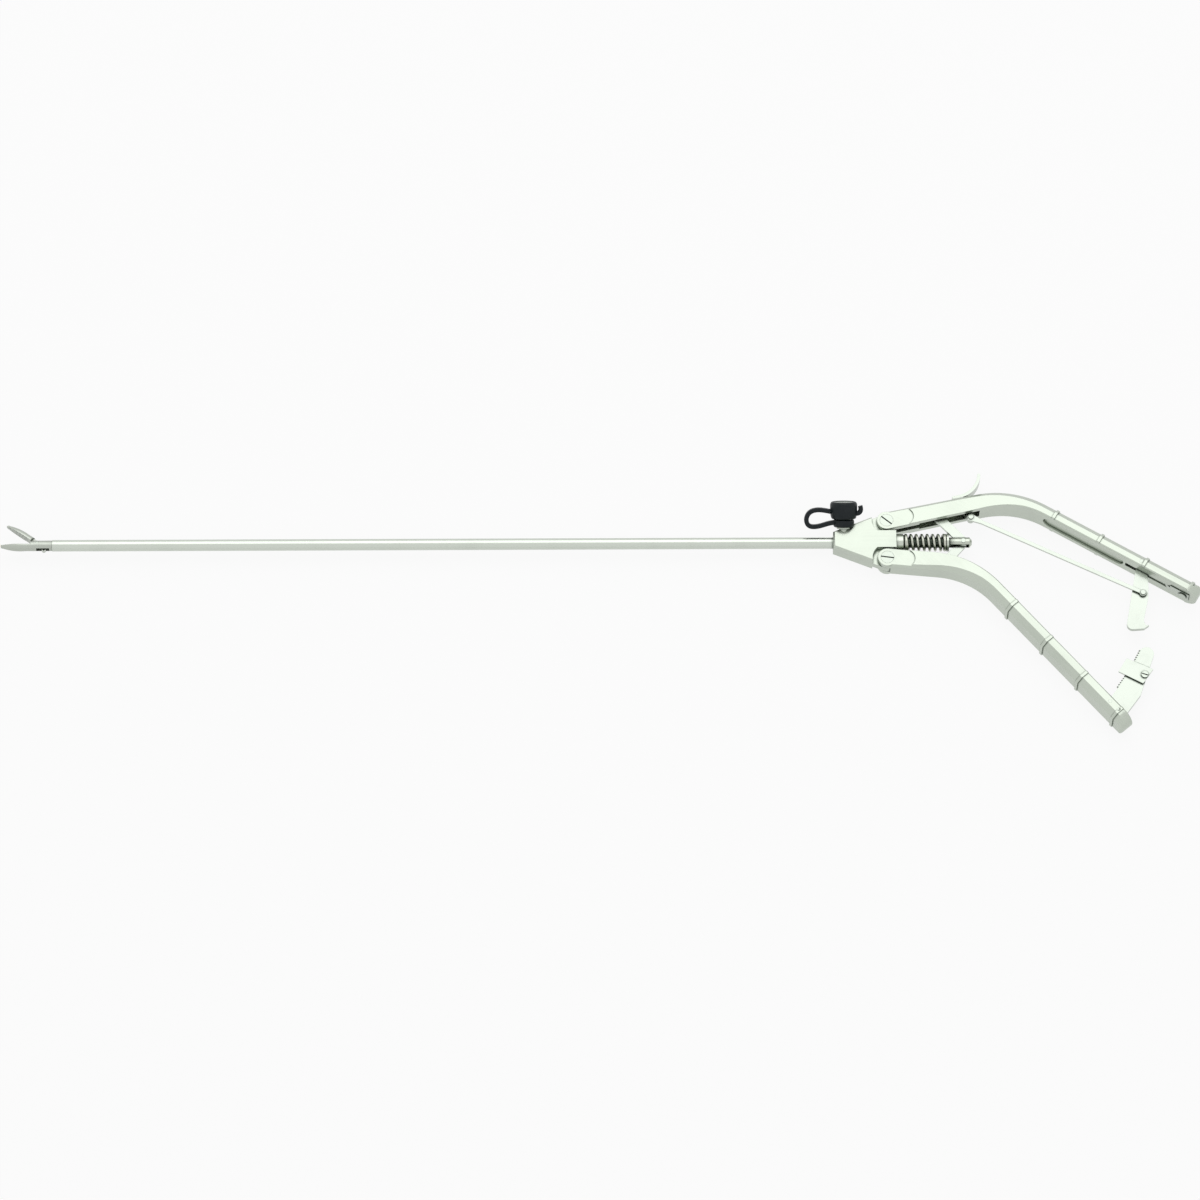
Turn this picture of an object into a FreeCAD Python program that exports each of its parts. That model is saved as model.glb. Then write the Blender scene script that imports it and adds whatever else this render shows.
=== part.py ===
import FreeCAD, Part
import math
import os

import Sketcher
from FreeCAD import Placement, Rotation, Vector

# A laparoscopic needle holder, lying on its side as it rests on a table.
# X runs from the jaws to the handles, Y from the lower handle to the upper one, Z up from the table.
# The origin is on the shaft's axis, at the front face of the handle housing. Millimetres and degrees.

SIZES = {
    # Gaps between pieces
    "running_gap": 0.05,
    "side_gap": 0.1,
    "soft_gap": 0.3,
    # Shaft and pull rod
    "tube_radius": 2.5,
    "tube_bore": 1.9,
    "tube_front": -339.5,
    "tube_socket": 10.0,
    "tube_stub_radius": 2.3,
    "rod_radius": 1.2,
    "rod_end_radius": 2.3,
    "rod_end_front": 12.0,
    "rod_end_rear": 60.3,
    "rod_slot_front": 47.5,
    "rod_slot_rear": 59.0,
    "cross_pin_place": 56.6,
    "cross_pin_radius": 1.0,
    # Housing
    "housing_depth": 8.6,
    "nose_half_height": 3.65,
    "nose_chamfer": 0.7,
    "boss_half_height": 4.05,
    "boss_rear": 27.4,
    "gland_radius": 3.75,
    "gland_rear": 30.9,
    "gland_thread_radius": 3.2,
    "gland_thread_length": 4.0,
    "seal_section": 0.55,
    "seal_squeeze": 0.02,
    "pivot_place": 23.3,
    "pivot_height": 8.9,
    "ear_radius": 4.1,
    "end_radius": 2.2,
    "ear_recess_radius": 6.4,
    "tongue_depth": 3.2,
    "screw_radius": 1.6,
    "screw_head_radius": 2.85,
    "screw_head_depth": 0.9,
    "driver_slot_width": 0.6,
    "driver_slot_depth": 0.45,
    # Handles
    "handle_depth": 12.0,
    "handle_front_depth": 9.7,
    "front_thickness": 7.5,
    "upper_tail_thickness": 5.4,
    "lower_tail_thickness": 6.0,
    "bend_radius": 38.0,
    "bend_angle": 43.8,
    "outer_bevel": 2.5,
    "inner_bevel": 0.5,
    "flare_before_corner": 24.0,
    "flare_after_corner": 4.0,
    "pad_length": 7.8,
    "upper_front_angle": 12.5,
    "upper_corner_distance": 57.4,
    "upper_tail_length": 92.0,
    "lower_front_angle": -6.0,
    "lower_corner_distance": 36.8,
    "lower_tail_length": 99.5,
    "upper_rib_start": 20.5,
    "lower_rib_start": 26.0,
    "rib_pitch": 22.3,
    "rib_width": 1.3,
    "rib_rise": 0.45,
    "rib_count": 4,
    "recess_start": 19.4,
    "recess_length": 33.4,
    "recess_width": 6.5,
    "recess_depth": 1.0,
    "fork_width": 3.4,
    "link_slot_width": 5.4,
    "upper_slot_depth": 4.6,
    "upper_slot_end": 41.0,
    "lower_slot_depth": 5.5,
    "lower_slot_end": 35.5,
    # Links
    "upper_link_place": 45.4,
    "upper_link_height": 12.2,
    "lower_link_place": 47.3,
    "lower_link_height": 10.8,
    "link_thickness": 1.4,
    "link_width": 4.0,
    "link_pin_radius": 1.0,
    "link_hole_gap": 0.2,
    # Spring
    "spring_radius": 3.9,
    "wire_radius": 0.6,
    "spring_turns": 7.5,
    "washer_front": 49.35,
    "washer_thickness": 0.9,
    "washer_radius": 3.9,
    # Jaws
    "jaw_tip": -362.0,
    "jaw_pivot_place": -346.0,
    "jaw_pivot_height": 0.7,
    "jaw_pin_radius": 0.6,
    "jaw_opening": 34.0,
    "jaw_knuckle_radius": 2.95,
    "jaw_tail_thickness": 1.2,
    "jaw_tail_wall": 0.42,
    "jaw_radius": 2.3,
    "jaw_tip_radius": 1.15,
    "jaw_taper_start": -351.5,
    "jaw_face_gap": 0.06,
    "jaw_slot_half_width": 1.3,
    "tooth_pitch": 0.8,
    "tooth_depth": 0.16,
    "drive_pin_radius": 0.45,
    "drive_pin_lead": 1.2,
    "drive_pin_drop": 0.75,
    "rod_travel": 2.766,
    "spigot_length": 6.5,
    # Thumb release
    "lever_pivot_along": 35.6,
    "lever_pivot_outer": 0.1,
    "lever_hub_radius": 2.1,
    "lever_thickness": 2.2,
    "lever_slot_width": 2.6,
    "lever_slot_start": 31.4,
    "lever_slot_length": 7.4,
    "lever_foot_gap": 0.3,
    "lever_foot_height": 1.7,
    "blade_width": 5.0,
    "blade_thickness": 1.4,
    "blade_radius": 11.5,
    "blade_start_angle": 2.0,
    "blade_sweep": 72.0,
    "lever_arm_along": 36.54,
    "lever_arm_outer": -5.6,
    "release_pin_radius": 0.7,
    "release_eye_radius": 1.5,
    "release_rod_width": 1.6,
    "release_rod_thickness": 1.0,
    "release_rod_play": 0.15,
    # Pawl and rack
    "pawl_pivot_along": 63.5,
    "pawl_pivot_outer": -0.6,
    "pawl_thickness": 1.9,
    "pawl_pin_radius": 0.9,
    "pawl_boss_radius": 2.0,
    "pawl_hook_place": 135.6,
    "pawl_hook_height": -40.5,
    "pawl_rod_place": 133.6,
    "pawl_rod_height": -25.4,
    "tail_slot_width": 2.5,
    "tail_slot_depth": 4.3,
    "upper_tail_slot_start": 57.0,
    "upper_tail_slot_end": 79.0,
    "lower_tail_slot_start": 70.0,
    "lower_tail_slot_end": 95.0,
    "leaf_thickness": 0.4,
    "leaf_width": 2.2,
    "leaf_plate_width": 5.2,
    "leaf_end": 88.4,
    "leaf_screw_along": 85.6,
    "leaf_screw_radius": 1.8,
    "rack_thickness": 2.0,
    "rack_first_tooth": 3.1,
    "rack_tooth_step": 0.28,
    "rack_tooth_count": 18,
    "rack_tooth_depth": 0.85,
    "rack_tooth_clearance": 0.12,
    "rack_top_width": 7.0,
    "rack_base_width": 10.8,
    "rack_foot_start": 84.5,
    "rack_foot_end": 94.8,
    "rack_rivet_radius": 0.8,
    "guide_thickness": 1.0,
    "guide_reach": 2.8,
    "guide_first_swing": 4.6,
    "guide_last_swing": 6.4,
    "guide_back": 9.6,
    "guide_screw_back": 7.6,
    "guide_screw_radius": 1.5,
    "guide_shank_radius": 0.8,
    "guide_head_height": 0.7,
    # Flush port, cap and strap
    "port_place": 4.6,
    "port_cant": 32.0,
    "port_seat": 6.3,
    "port_stem_start": 2.7,
    "port_stem_radius": 1.9,
    "port_collar_radius": 3.0,
    "port_collar_top": 7.8,
    "port_neck_radius": 2.7,
    "port_neck_top": 10.4,
    "port_mouth_radius": 2.1,
    "port_bore": 1.3,
    "port_top": 17.0,
    "ring_seat": 8.3,
    "ring_radius": 4.6,
    "cap_seat": 10.6,
    "cap_top": 18.1,
    "cap_radius": 5.9,
    "cap_edge": 0.8,
    "tab_reach": 8.2,
    "tab_thickness": 2.6,
    "strap_thickness": 2.0,
    "strap_width": 4.0,
    "strap_reach": 17.0,
    "strap_upper_place": 13.4,
    "strap_loop_radius": 3.3,
    "strap_sag": 1.0,
}

doc = FreeCAD.newDocument("needle_holder")
sheet = doc.addObject("Spreadsheet::Sheet", "sizes")
for line, (word, number) in enumerate(SIZES.items(), start=1):
    sheet.set(f"A{line}", word)
    sheet.set(f"B{line}", str(number))
    sheet.setAlias(f"B{line}", word)
doc.recompute()

UP = Vector(0, 0, 1)
ALONG = Vector(1, 0, 0)
nodes = {}


def size(word):
    """Reads one size from the sheet."""
    return float(sheet.get(word))


def number(word):
    """A size by its name, or a plain number."""
    return size(word) if word in SIZES else float(word)


def value(rule):
    """Works out a rule such as "pin_radius + running_gap"."""
    total = 0.0
    for term in rule.replace(" - ", " + -").split(" + "):
        words = term.lstrip("-").split()
        product = number(words[0])
        for sign, word in zip(words[1::2], words[2::2]):
            product = product * number(word) if sign == "*" else product / number(word)
        total += -product if term.startswith("-") else product
    return total


def expression(rule):
    """Writes the same rule with the sheet's name, for a property to follow."""
    return " ".join(f"sizes.{word}" if word in SIZES else word for word in rule.split())


def keep(node, label):
    """Names a finished sub-part, which is written to a file of that name."""
    node.Label = label
    nodes[label] = node
    return node


def turned(point, centre, degrees):
    """Turns a point of the side view about a centre."""
    turn = Rotation(UP, degrees)
    return centre + turn.multVec(point - centre)


def polar(centre, radius, degrees):
    """The point at a radius and direction from a centre, in the side view."""
    angle = math.radians(degrees)
    return centre + Vector(radius * math.cos(angle), radius * math.sin(angle), 0)


def round_corner(before, corner, after, radius):
    """The start, middle and end of an arc that rounds a corner."""
    back = (before - corner).normalize()
    ahead = (after - corner).normalize()
    half = back.getAngle(ahead) / 2
    start = corner + back * (radius / math.tan(half))
    end = corner + ahead * (radius / math.tan(half))
    inward = (back + ahead).normalize()
    middle = corner + inward * (radius / math.sin(half) - radius)
    return start, middle, end


def origin_plane(body, role):
    """One of a body's own origin planes or axes."""
    return next(item for item in body.Origin.OriginFeatures if item.Role == role)


def add_sketch(body, name, role="XY_Plane", level=None):
    """A sketch on a body's own plane, raised by the rule level."""
    sketch = body.newObject("Sketcher::SketchObject", name)
    sketch.AttachmentSupport = (origin_plane(body, role), [""])
    sketch.MapMode = "FlatFace"
    if level:
        sketch.AttachmentOffset = Placement(Vector(0, 0, value(level)), Rotation())
        sketch.setExpression(".AttachmentOffset.Base.z", expression(level))
    return sketch


def draw_outline(sketch, steps):
    """Draws a closed outline: a step is a point for a line, or a pair, for an arc through the first."""
    last = steps[-1]
    at = last[1] if isinstance(last, tuple) else last
    ends = []
    for step in steps:
        if isinstance(step, tuple):
            curve, to = Part.Arc(at, step[0], step[1]), step[1]
        else:
            curve, to = Part.LineSegment(at, step), step
        index = sketch.addGeometry(curve, False)
        forward = sketch.getPoint(index, 1).distanceToPoint(at) < 1e-6
        ends.append((index, 1 if forward else 2, 2 if forward else 1))
        at = to
    for this, following in zip(ends, ends[1:] + ends[:1]):
        sketch.addConstraint(Sketcher.Constraint("Coincident", this[0], this[2], following[0], following[1]))


def draw_circle(sketch, centre, radius):
    """Draws a circle whose radius follows a rule."""
    index = sketch.addGeometry(Part.Circle(centre, UP, value(radius)), False)
    held = sketch.addConstraint(Sketcher.Constraint("Radius", index, value(radius)))
    sketch.setExpression(f"Constraints[{held}]", expression(radius))


def pad(body, sketch, height, both_ways=True):
    """Pads a sketch by a rule, half to each side or upwards."""
    made = body.newObject("PartDesign::Pad", sketch.Name + "_pad")
    made.Profile = sketch
    made.Length = value(height)
    made.setExpression("Length", expression(height))
    made.Midplane = both_ways
    sketch.Visibility = False
    return made


def pocket(body, sketch, depth=None):
    """Pockets a sketch by a rule, half to each side, or right through."""
    made = body.newObject("PartDesign::Pocket", sketch.Name + "_pocket")
    made.Profile = sketch
    made.Midplane = True
    if depth:
        made.Length = value(depth)
        made.setExpression("Length", expression(depth))
    else:
        made.Type = 1
    return made


def new_body(name):
    return doc.addObject("PartDesign::Body", name)


def plate(name, outline, height, holes=(), level=None):
    """A flat piece cut to an outline, centred on the mid-plane or standing on a level."""
    body = new_body(name)
    sketch = add_sketch(body, name + "_outline", level=level)
    draw_outline(sketch, outline)
    for centre, radius in holes:
        draw_circle(sketch, centre, radius)
    pad(body, sketch, height, both_ways=level is None)
    return body


def cylinder(name, radius, length, base, direction=UP):
    """A round bar from a base point, whose radius and length follow rules."""
    made = doc.addObject("Part::Cylinder", name)
    made.Radius, made.Height = value(radius), value(length)
    made.setExpression("Radius", expression(radius))
    made.setExpression("Height", expression(length))
    made.Placement = Placement(base, Rotation(UP, direction))
    return made


def cross_pin(name, centre, radius, length):
    """A pin across the instrument, centred on the mid-plane."""
    base = Vector(centre.x, centre.y, -value(length) / 2)
    return cylinder(name, radius, length, base)


def block(name, centre, long, high, deep, degrees=0.0):
    """A box centred on a point, turned in the side view."""
    made = doc.addObject("Part::Box", name)
    for side, rule in (("Length", long), ("Width", high), ("Height", deep)):
        setattr(made, side, value(rule))
        made.setExpression(side, expression(rule))
    turn = Rotation(UP, degrees)
    half = Vector(value(long) / 2, value(high) / 2, value(deep) / 2)
    made.Placement = Placement(centre - turn.multVec(half), turn)
    return made


def cut(name, base, tools):
    """The base with every tool cut away."""
    made = base
    for number, tool in enumerate(tools, start=1):
        step = doc.addObject("Part::Cut", f"{name}_cut_{number}")
        step.Base, step.Tool = made, tool
        made = step
    return made


def fuse(name, pieces):
    """Several solids that are one piece of metal."""
    made = doc.addObject("Part::MultiFuse", name)
    made.Shapes = pieces
    made.Refine = True
    return made


def spun(name, profile):
    """A turned piece: points of distance along X and radius, both rules, spun about X."""
    body = new_body(name)
    sketch = add_sketch(body, name + "_profile")
    points = [Vector(value(along), value(radius), 0) for along, radius in profile]
    draw_outline(sketch, points[1:] + points[:1])
    # Line number i starts at point i, so each point is held by its two rules.
    for index, (along, radius) in enumerate(profile):
        for kind, rule in (("DistanceX", along), ("DistanceY", radius)):
            held = sketch.addConstraint(Sketcher.Constraint(kind, -1, 1, index, 1, value(rule)))
            sketch.setExpression(f"Constraints[{held}]", expression(rule))
    made = body.newObject("PartDesign::Revolution", name + "_turned")
    made.Profile = sketch
    made.ReferenceAxis = (sketch, ["H_Axis"])
    made.Angle = 360.0
    return body


def dress(body, feature, kind, reach, wanted):
    """Chamfers or fillets the edges of a feature that a test picks."""
    doc.recompute()
    base = body.Tip
    names = [f"Edge{number}" for number, edge in enumerate(base.Shape.Edges, start=1) if wanted(edge)]
    made = body.newObject(f"PartDesign::{kind}", feature)
    made.Base = (base, names)
    rule_name = "Radius" if kind == "Fillet" else "Size"
    setattr(made, rule_name, value(reach))
    made.setExpression(rule_name, expression(reach))
    return made


def edge_middle(edge):
    return edge.valueAt((edge.FirstParameter + edge.LastParameter) / 2)


# Side view of the main pivots
UPPER_PIVOT = Vector(size("pivot_place"), size("pivot_height"), 0)
LOWER_PIVOT = Vector(size("pivot_place"), -size("pivot_height"), 0)
CROSS_PIN = Vector(size("cross_pin_place"), 0, 0)
JAW_PIVOT = Vector(size("jaw_pivot_place"), size("jaw_pivot_height"), 0)
DRIVE_PIN = JAW_PIVOT + Vector(size("drive_pin_lead"), -size("drive_pin_drop"), 0)


class Bar:
    """The side view of a bent handle: a front line from the pivot, a corner and a tail line."""

    def __init__(self, which, pivot, outward):
        self.which = which
        self.pivot = pivot
        self.outward = outward
        self.front_angle = size(f"{which}_front_angle")
        self.tail_angle = self.front_angle - size("bend_angle")
        self.corner_distance = size(f"{which}_corner_distance")
        self.tail_length = size(f"{which}_tail_length")
        self.corner = self.front(self.corner_distance, 0)

    def front(self, along, outer):
        """A point along the front line from the pivot, and outwards from it."""
        turn = Rotation(UP, self.front_angle)
        return self.pivot + turn.multVec(Vector(along, outer * self.outward, 0))

    def tail(self, along, outer):
        """A point along the tail line from the corner, and outwards from it."""
        turn = Rotation(UP, self.tail_angle)
        return self.corner + turn.multVec(Vector(along, outer * self.outward, 0))

    def outline(self, rise=0.0):
        """The outline of the bar, with its outer side raised, and the points of its outer side."""
        ear = size("ear_radius")
        front_half = size("front_thickness") / 2
        tail_half = size(f"{self.which}_tail_thickness") / 2
        end = self.tail_length
        sides = []
        for way, front_out, tail_out in (
            (1, front_half + rise, tail_half + rise), (-1, -front_half, -tail_half)
        ):
            start = self.front(0, way * ear)
            knee = meeting(
                start, self.front(40, front_out), self.tail(20, tail_out), self.tail(end, tail_out)
            )
            radius = size("bend_radius") + way * self.outward * front_half
            sides.append((start, *round_corner(start, knee, self.tail(end, tail_out), radius)))
        (outer_start, outer_a, outer_b, outer_c), (inner_start, inner_a, inner_b, inner_c) = sides
        outer_end, inner_end = self.tail(end + rise, tail_half + rise), self.tail(end + rise, -tail_half)
        steps = [
            outer_a,
            (outer_b, outer_c),
            outer_end,
            inner_end,
            inner_c,
            (inner_b, inner_a),
            inner_start,
            outer_start,
        ]
        outer_chain = [outer_start, outer_a, outer_b, outer_c, outer_end]
        return steps, outer_chain, [inner_end, inner_c, inner_b, inner_a, inner_start]


def meeting(first, second, third, fourth):
    """Where the line through two points meets the line through two others."""
    a, b = second - first, fourth - third
    share = ((third - first).cross(b)).z / a.cross(b).z
    return first + a * share


UPPER = Bar("upper", UPPER_PIVOT, 1)
LOWER = Bar("lower", LOWER_PIVOT, -1)


def make_housing():
    """The block that carries the shaft, both pivots, the flush port and the rod's seal."""
    nose = size("nose_half_height")
    ear = size("ear_radius")
    reach = Vector(0, nose, 0) - UPPER_PIVOT
    tangent = math.degrees(math.atan2(reach.y, reach.x)) - math.degrees(math.acos(ear / reach.Length))
    touch = polar(UPPER_PIVOT, ear, tangent)
    boss = size("boss_half_height")
    inner = polar(UPPER_PIVOT, ear, -90)
    notch = Vector(size("pivot_place"), boss, 0)
    flip = lambda point: Vector(point.x, -point.y, point.z)
    body = plate(
        "housing_form",
        [
            touch,
            (polar(UPPER_PIVOT, ear, 20), inner),
            notch,
            Vector(size("boss_rear"), boss, 0),
            Vector(size("boss_rear"), -boss, 0),
            flip(notch),
            flip(inner),
            (flip(polar(UPPER_PIVOT, ear, 20)), flip(touch)),
            Vector(0, -nose, 0),
            Vector(0, nose, 0),
        ],
        "housing_depth",
    )
    # The nose's edges are broken before the recesses are milled.
    half = size("housing_depth") / 2
    sloped = lambda edge: abs(abs(edge_middle(edge).z) - half) < 0.01 and edge_middle(edge).x < touch.x
    dress(body, "nose_edges", "Chamfer", "nose_chamfer", sloped)
    for way in (1, -1):
        pivot = UPPER_PIVOT if way > 0 else LOWER_PIVOT
        flat = lambda point: point if way > 0 else flip(point)
        recess_radius = size("ear_recess_radius")
        drop = size("pivot_height") - boss
        corner = Vector(size("pivot_place") - math.sqrt(recess_radius**2 - drop**2), boss, 0)
        clear = size("pivot_height") + 2 * recess_radius
        for face in (1, -1):
            recess = add_sketch(body, f"ear_recess_{way * 2 + face + 4}", level="housing_depth / 2")
            if face < 0:
                recess.setExpression(".AttachmentOffset.Base.z", "-(sizes.housing_depth / 2)")
            draw_outline(
                recess,
                [
                    flat(Vector(size("boss_rear") + 6, boss, 0)),
                    flat(Vector(size("boss_rear") + 6, clear, 0)),
                    flat(Vector(size("pivot_place") - recess_radius, clear, 0)),
                    flat(polar(UPPER_PIVOT, recess_radius, 180)),
                    (flat(polar(UPPER_PIVOT, recess_radius, 205)), flat(corner)),
                ],
            )
            pocket(body, recess, "housing_depth - tongue_depth")
        hole = add_sketch(body, f"pivot_hole_{'upper' if way > 0 else 'lower'}")
        draw_circle(hole, pivot, "screw_radius + running_gap")
        pocket(body, hole)
    bores = [
        cylinder(
            "rod_bore", "rod_end_radius + running_gap", "boss_rear + 1", Vector(size("rod_end_front") - 4, 0, 0), ALONG
        ),
        cylinder("nose_bore", "tube_bore", "rod_end_front", Vector(-1, 0, 0), ALONG),
        cylinder("tube_socket_bore", "tube_stub_radius", "tube_socket + 1", Vector(-1, 0, 0), ALONG),
        cylinder(
            "gland_thread_bore",
            "gland_thread_radius",
            "gland_thread_length + 1",
            Vector(size("boss_rear") - size("gland_thread_length"), 0, 0),
            ALONG,
        ),
        cylinder(
            "seal_pocket",
            "rod_end_radius + seal_section + seal_section + seal_squeeze",
            "seal_section * 2",
            Vector(seal_place() - size("seal_section"), 0, 0),
            ALONG,
        ),
        cylinder(
            "port_spot_face", "port_collar_radius + side_gap", "port_seat", port_point("port_seat"), PORT_AXIS
        ),
        cylinder("port_stem_bore", "port_stem_radius", "port_seat", port_point("tube_radius - 1"), PORT_AXIS),
    ]
    keep(cut("housing", body, bores), "housing_block")


PORT_AXIS = Rotation(ALONG, size("port_cant")).multVec(Vector(0, 1, 0))


def port_point(along, lengthwise=0.0):
    """A point on the flush port's axis, measured from the shaft's axis."""
    return Vector(size("port_place") + lengthwise, 0, 0) + PORT_AXIS * value(along)


def seal_place():
    """The rod's seal sits just ahead of the gland nut."""
    return size("boss_rear") - size("gland_thread_length") - size("seal_section")


def make_shaft():
    """The outer tube, the gland nut that holds the seal, and the seal ring."""
    front = Vector(size("tube_front"), 0, 0)
    outside = cylinder("tube_outside", "tube_radius", "0 - tube_front", front, ALONG)
    stub = cylinder("tube_stub", "tube_stub_radius", "tube_socket + 1", -ALONG, ALONG)
    bore = cylinder("tube_inside", "tube_bore", "tube_socket - tube_front + 2", front - ALONG, ALONG)
    inlet = cylinder("tube_flush_hole", "port_bore", "tube_radius * 2", port_point("0"), PORT_AXIS)
    keep(cut("shaft", fuse("tube_form", [outside, stub]), [bore, inlet]), "shaft_tube")

    bore_radius = "rod_end_radius + running_gap"
    gland = spun(
        "gland",
        [
            ("boss_rear - gland_thread_length", bore_radius),
            ("gland_rear", bore_radius),
            ("gland_rear", "gland_radius - 0.5"),
            ("gland_rear - 0.5", "gland_radius"),
            ("boss_rear", "gland_radius"),
            ("boss_rear", "gland_thread_radius"),
            ("boss_rear - gland_thread_length", "gland_thread_radius"),
        ],
    )
    keep(gland, "gland_nut")

    ring = doc.addObject("Part::Torus", "seal")
    ring.setExpression("Radius1", "sizes.rod_end_radius + sizes.seal_section + sizes.seal_squeeze")
    ring.setExpression("Radius2", "sizes.seal_section - sizes.seal_squeeze")
    ring.Placement = Placement(Vector(seal_place(), 0, 0), Rotation(UP, ALONG))
    keep(ring, "rod_seal_ring")


def make_pivot_screws():
    """The slotted screws that the handles turn on."""
    for label, pivot, slot_angle in (("upper", UPPER_PIVOT, -40.0), ("lower", LOWER_PIVOT, -8.0)):
        half = size("housing_depth") / 2
        shank = cylinder(f"{label}_shank", "screw_radius", "housing_depth", pivot - UP * half)
        head_base = pivot + UP * (half - size("screw_head_depth"))
        head = cylinder(f"{label}_head", "screw_head_radius", "screw_head_depth", head_base)
        slot_middle = pivot + UP * (half - size("driver_slot_depth") / 2)
        slot = block(
            f"{label}_driver_slot",
            slot_middle,
            "screw_head_radius * 2 + 1",
            "driver_slot_width",
            "driver_slot_depth",
            slot_angle,
        )
        keep(
            cut(f"{label}_screw", fuse(f"{label}_screw_form", [shank, head]), [slot]), f"{label}_pivot_screw"
        )


def jaw_envelope(name):
    """The round nose that both jaws are cut from: the tube's size, tapering to a blunt tip."""
    body = new_body(name)
    sketch = add_sketch(body, name + "_profile")
    tip = Vector(size("jaw_tip"), 0, 0)
    tip_radius = size("jaw_tip_radius")
    radius = size("jaw_radius")
    taper = Vector(size("jaw_taper_start"), radius, 0)
    rear = Vector(size("tube_front"), 0, 0)
    belly = (tip + taper) / 2 + Vector(-0.6, tip_radius / 2 + 0.35, 0)
    draw_outline(
        sketch,
        [
            tip + Vector(0, tip_radius * 0.55, 0),
            (
                tip + Vector(tip_radius * 0.35, tip_radius * 0.92, 0), tip + Vector(tip_radius, tip_radius * 1.05, 0)
            ),
            (belly, taper),
            rear + Vector(0, radius, 0),
            rear,
            tip,
        ],
    )
    made = body.newObject("PartDesign::Revolution", name + "_turned")
    made.Profile = sketch
    made.ReferenceAxis = (sketch, ["H_Axis"])
    made.Angle = 360.0
    return body


def gripping_cuts(name, way):
    """Shallow cross grooves in a gripping face, repeated at one pitch."""
    reach = size("jaw_pivot_place") - size("jaw_knuckle_radius") - size("jaw_tip")
    count = int((reach - 2.0) / size("tooth_pitch"))
    grooves = []
    for number in range(count):
        middle = Vector(
            size("jaw_tip") + 1.2 + number * size("tooth_pitch"), way * size("jaw_face_gap") / 2, 0
        )
        turned_box = block(
            f"{name}_groove_{number}", middle, "tooth_depth * 1.41", "tooth_depth * 1.41", "tube_radius * 2", 45
        )
        grooves.append(turned_box)
    return fuse(f"{name}_grooves", grooves)


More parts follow.
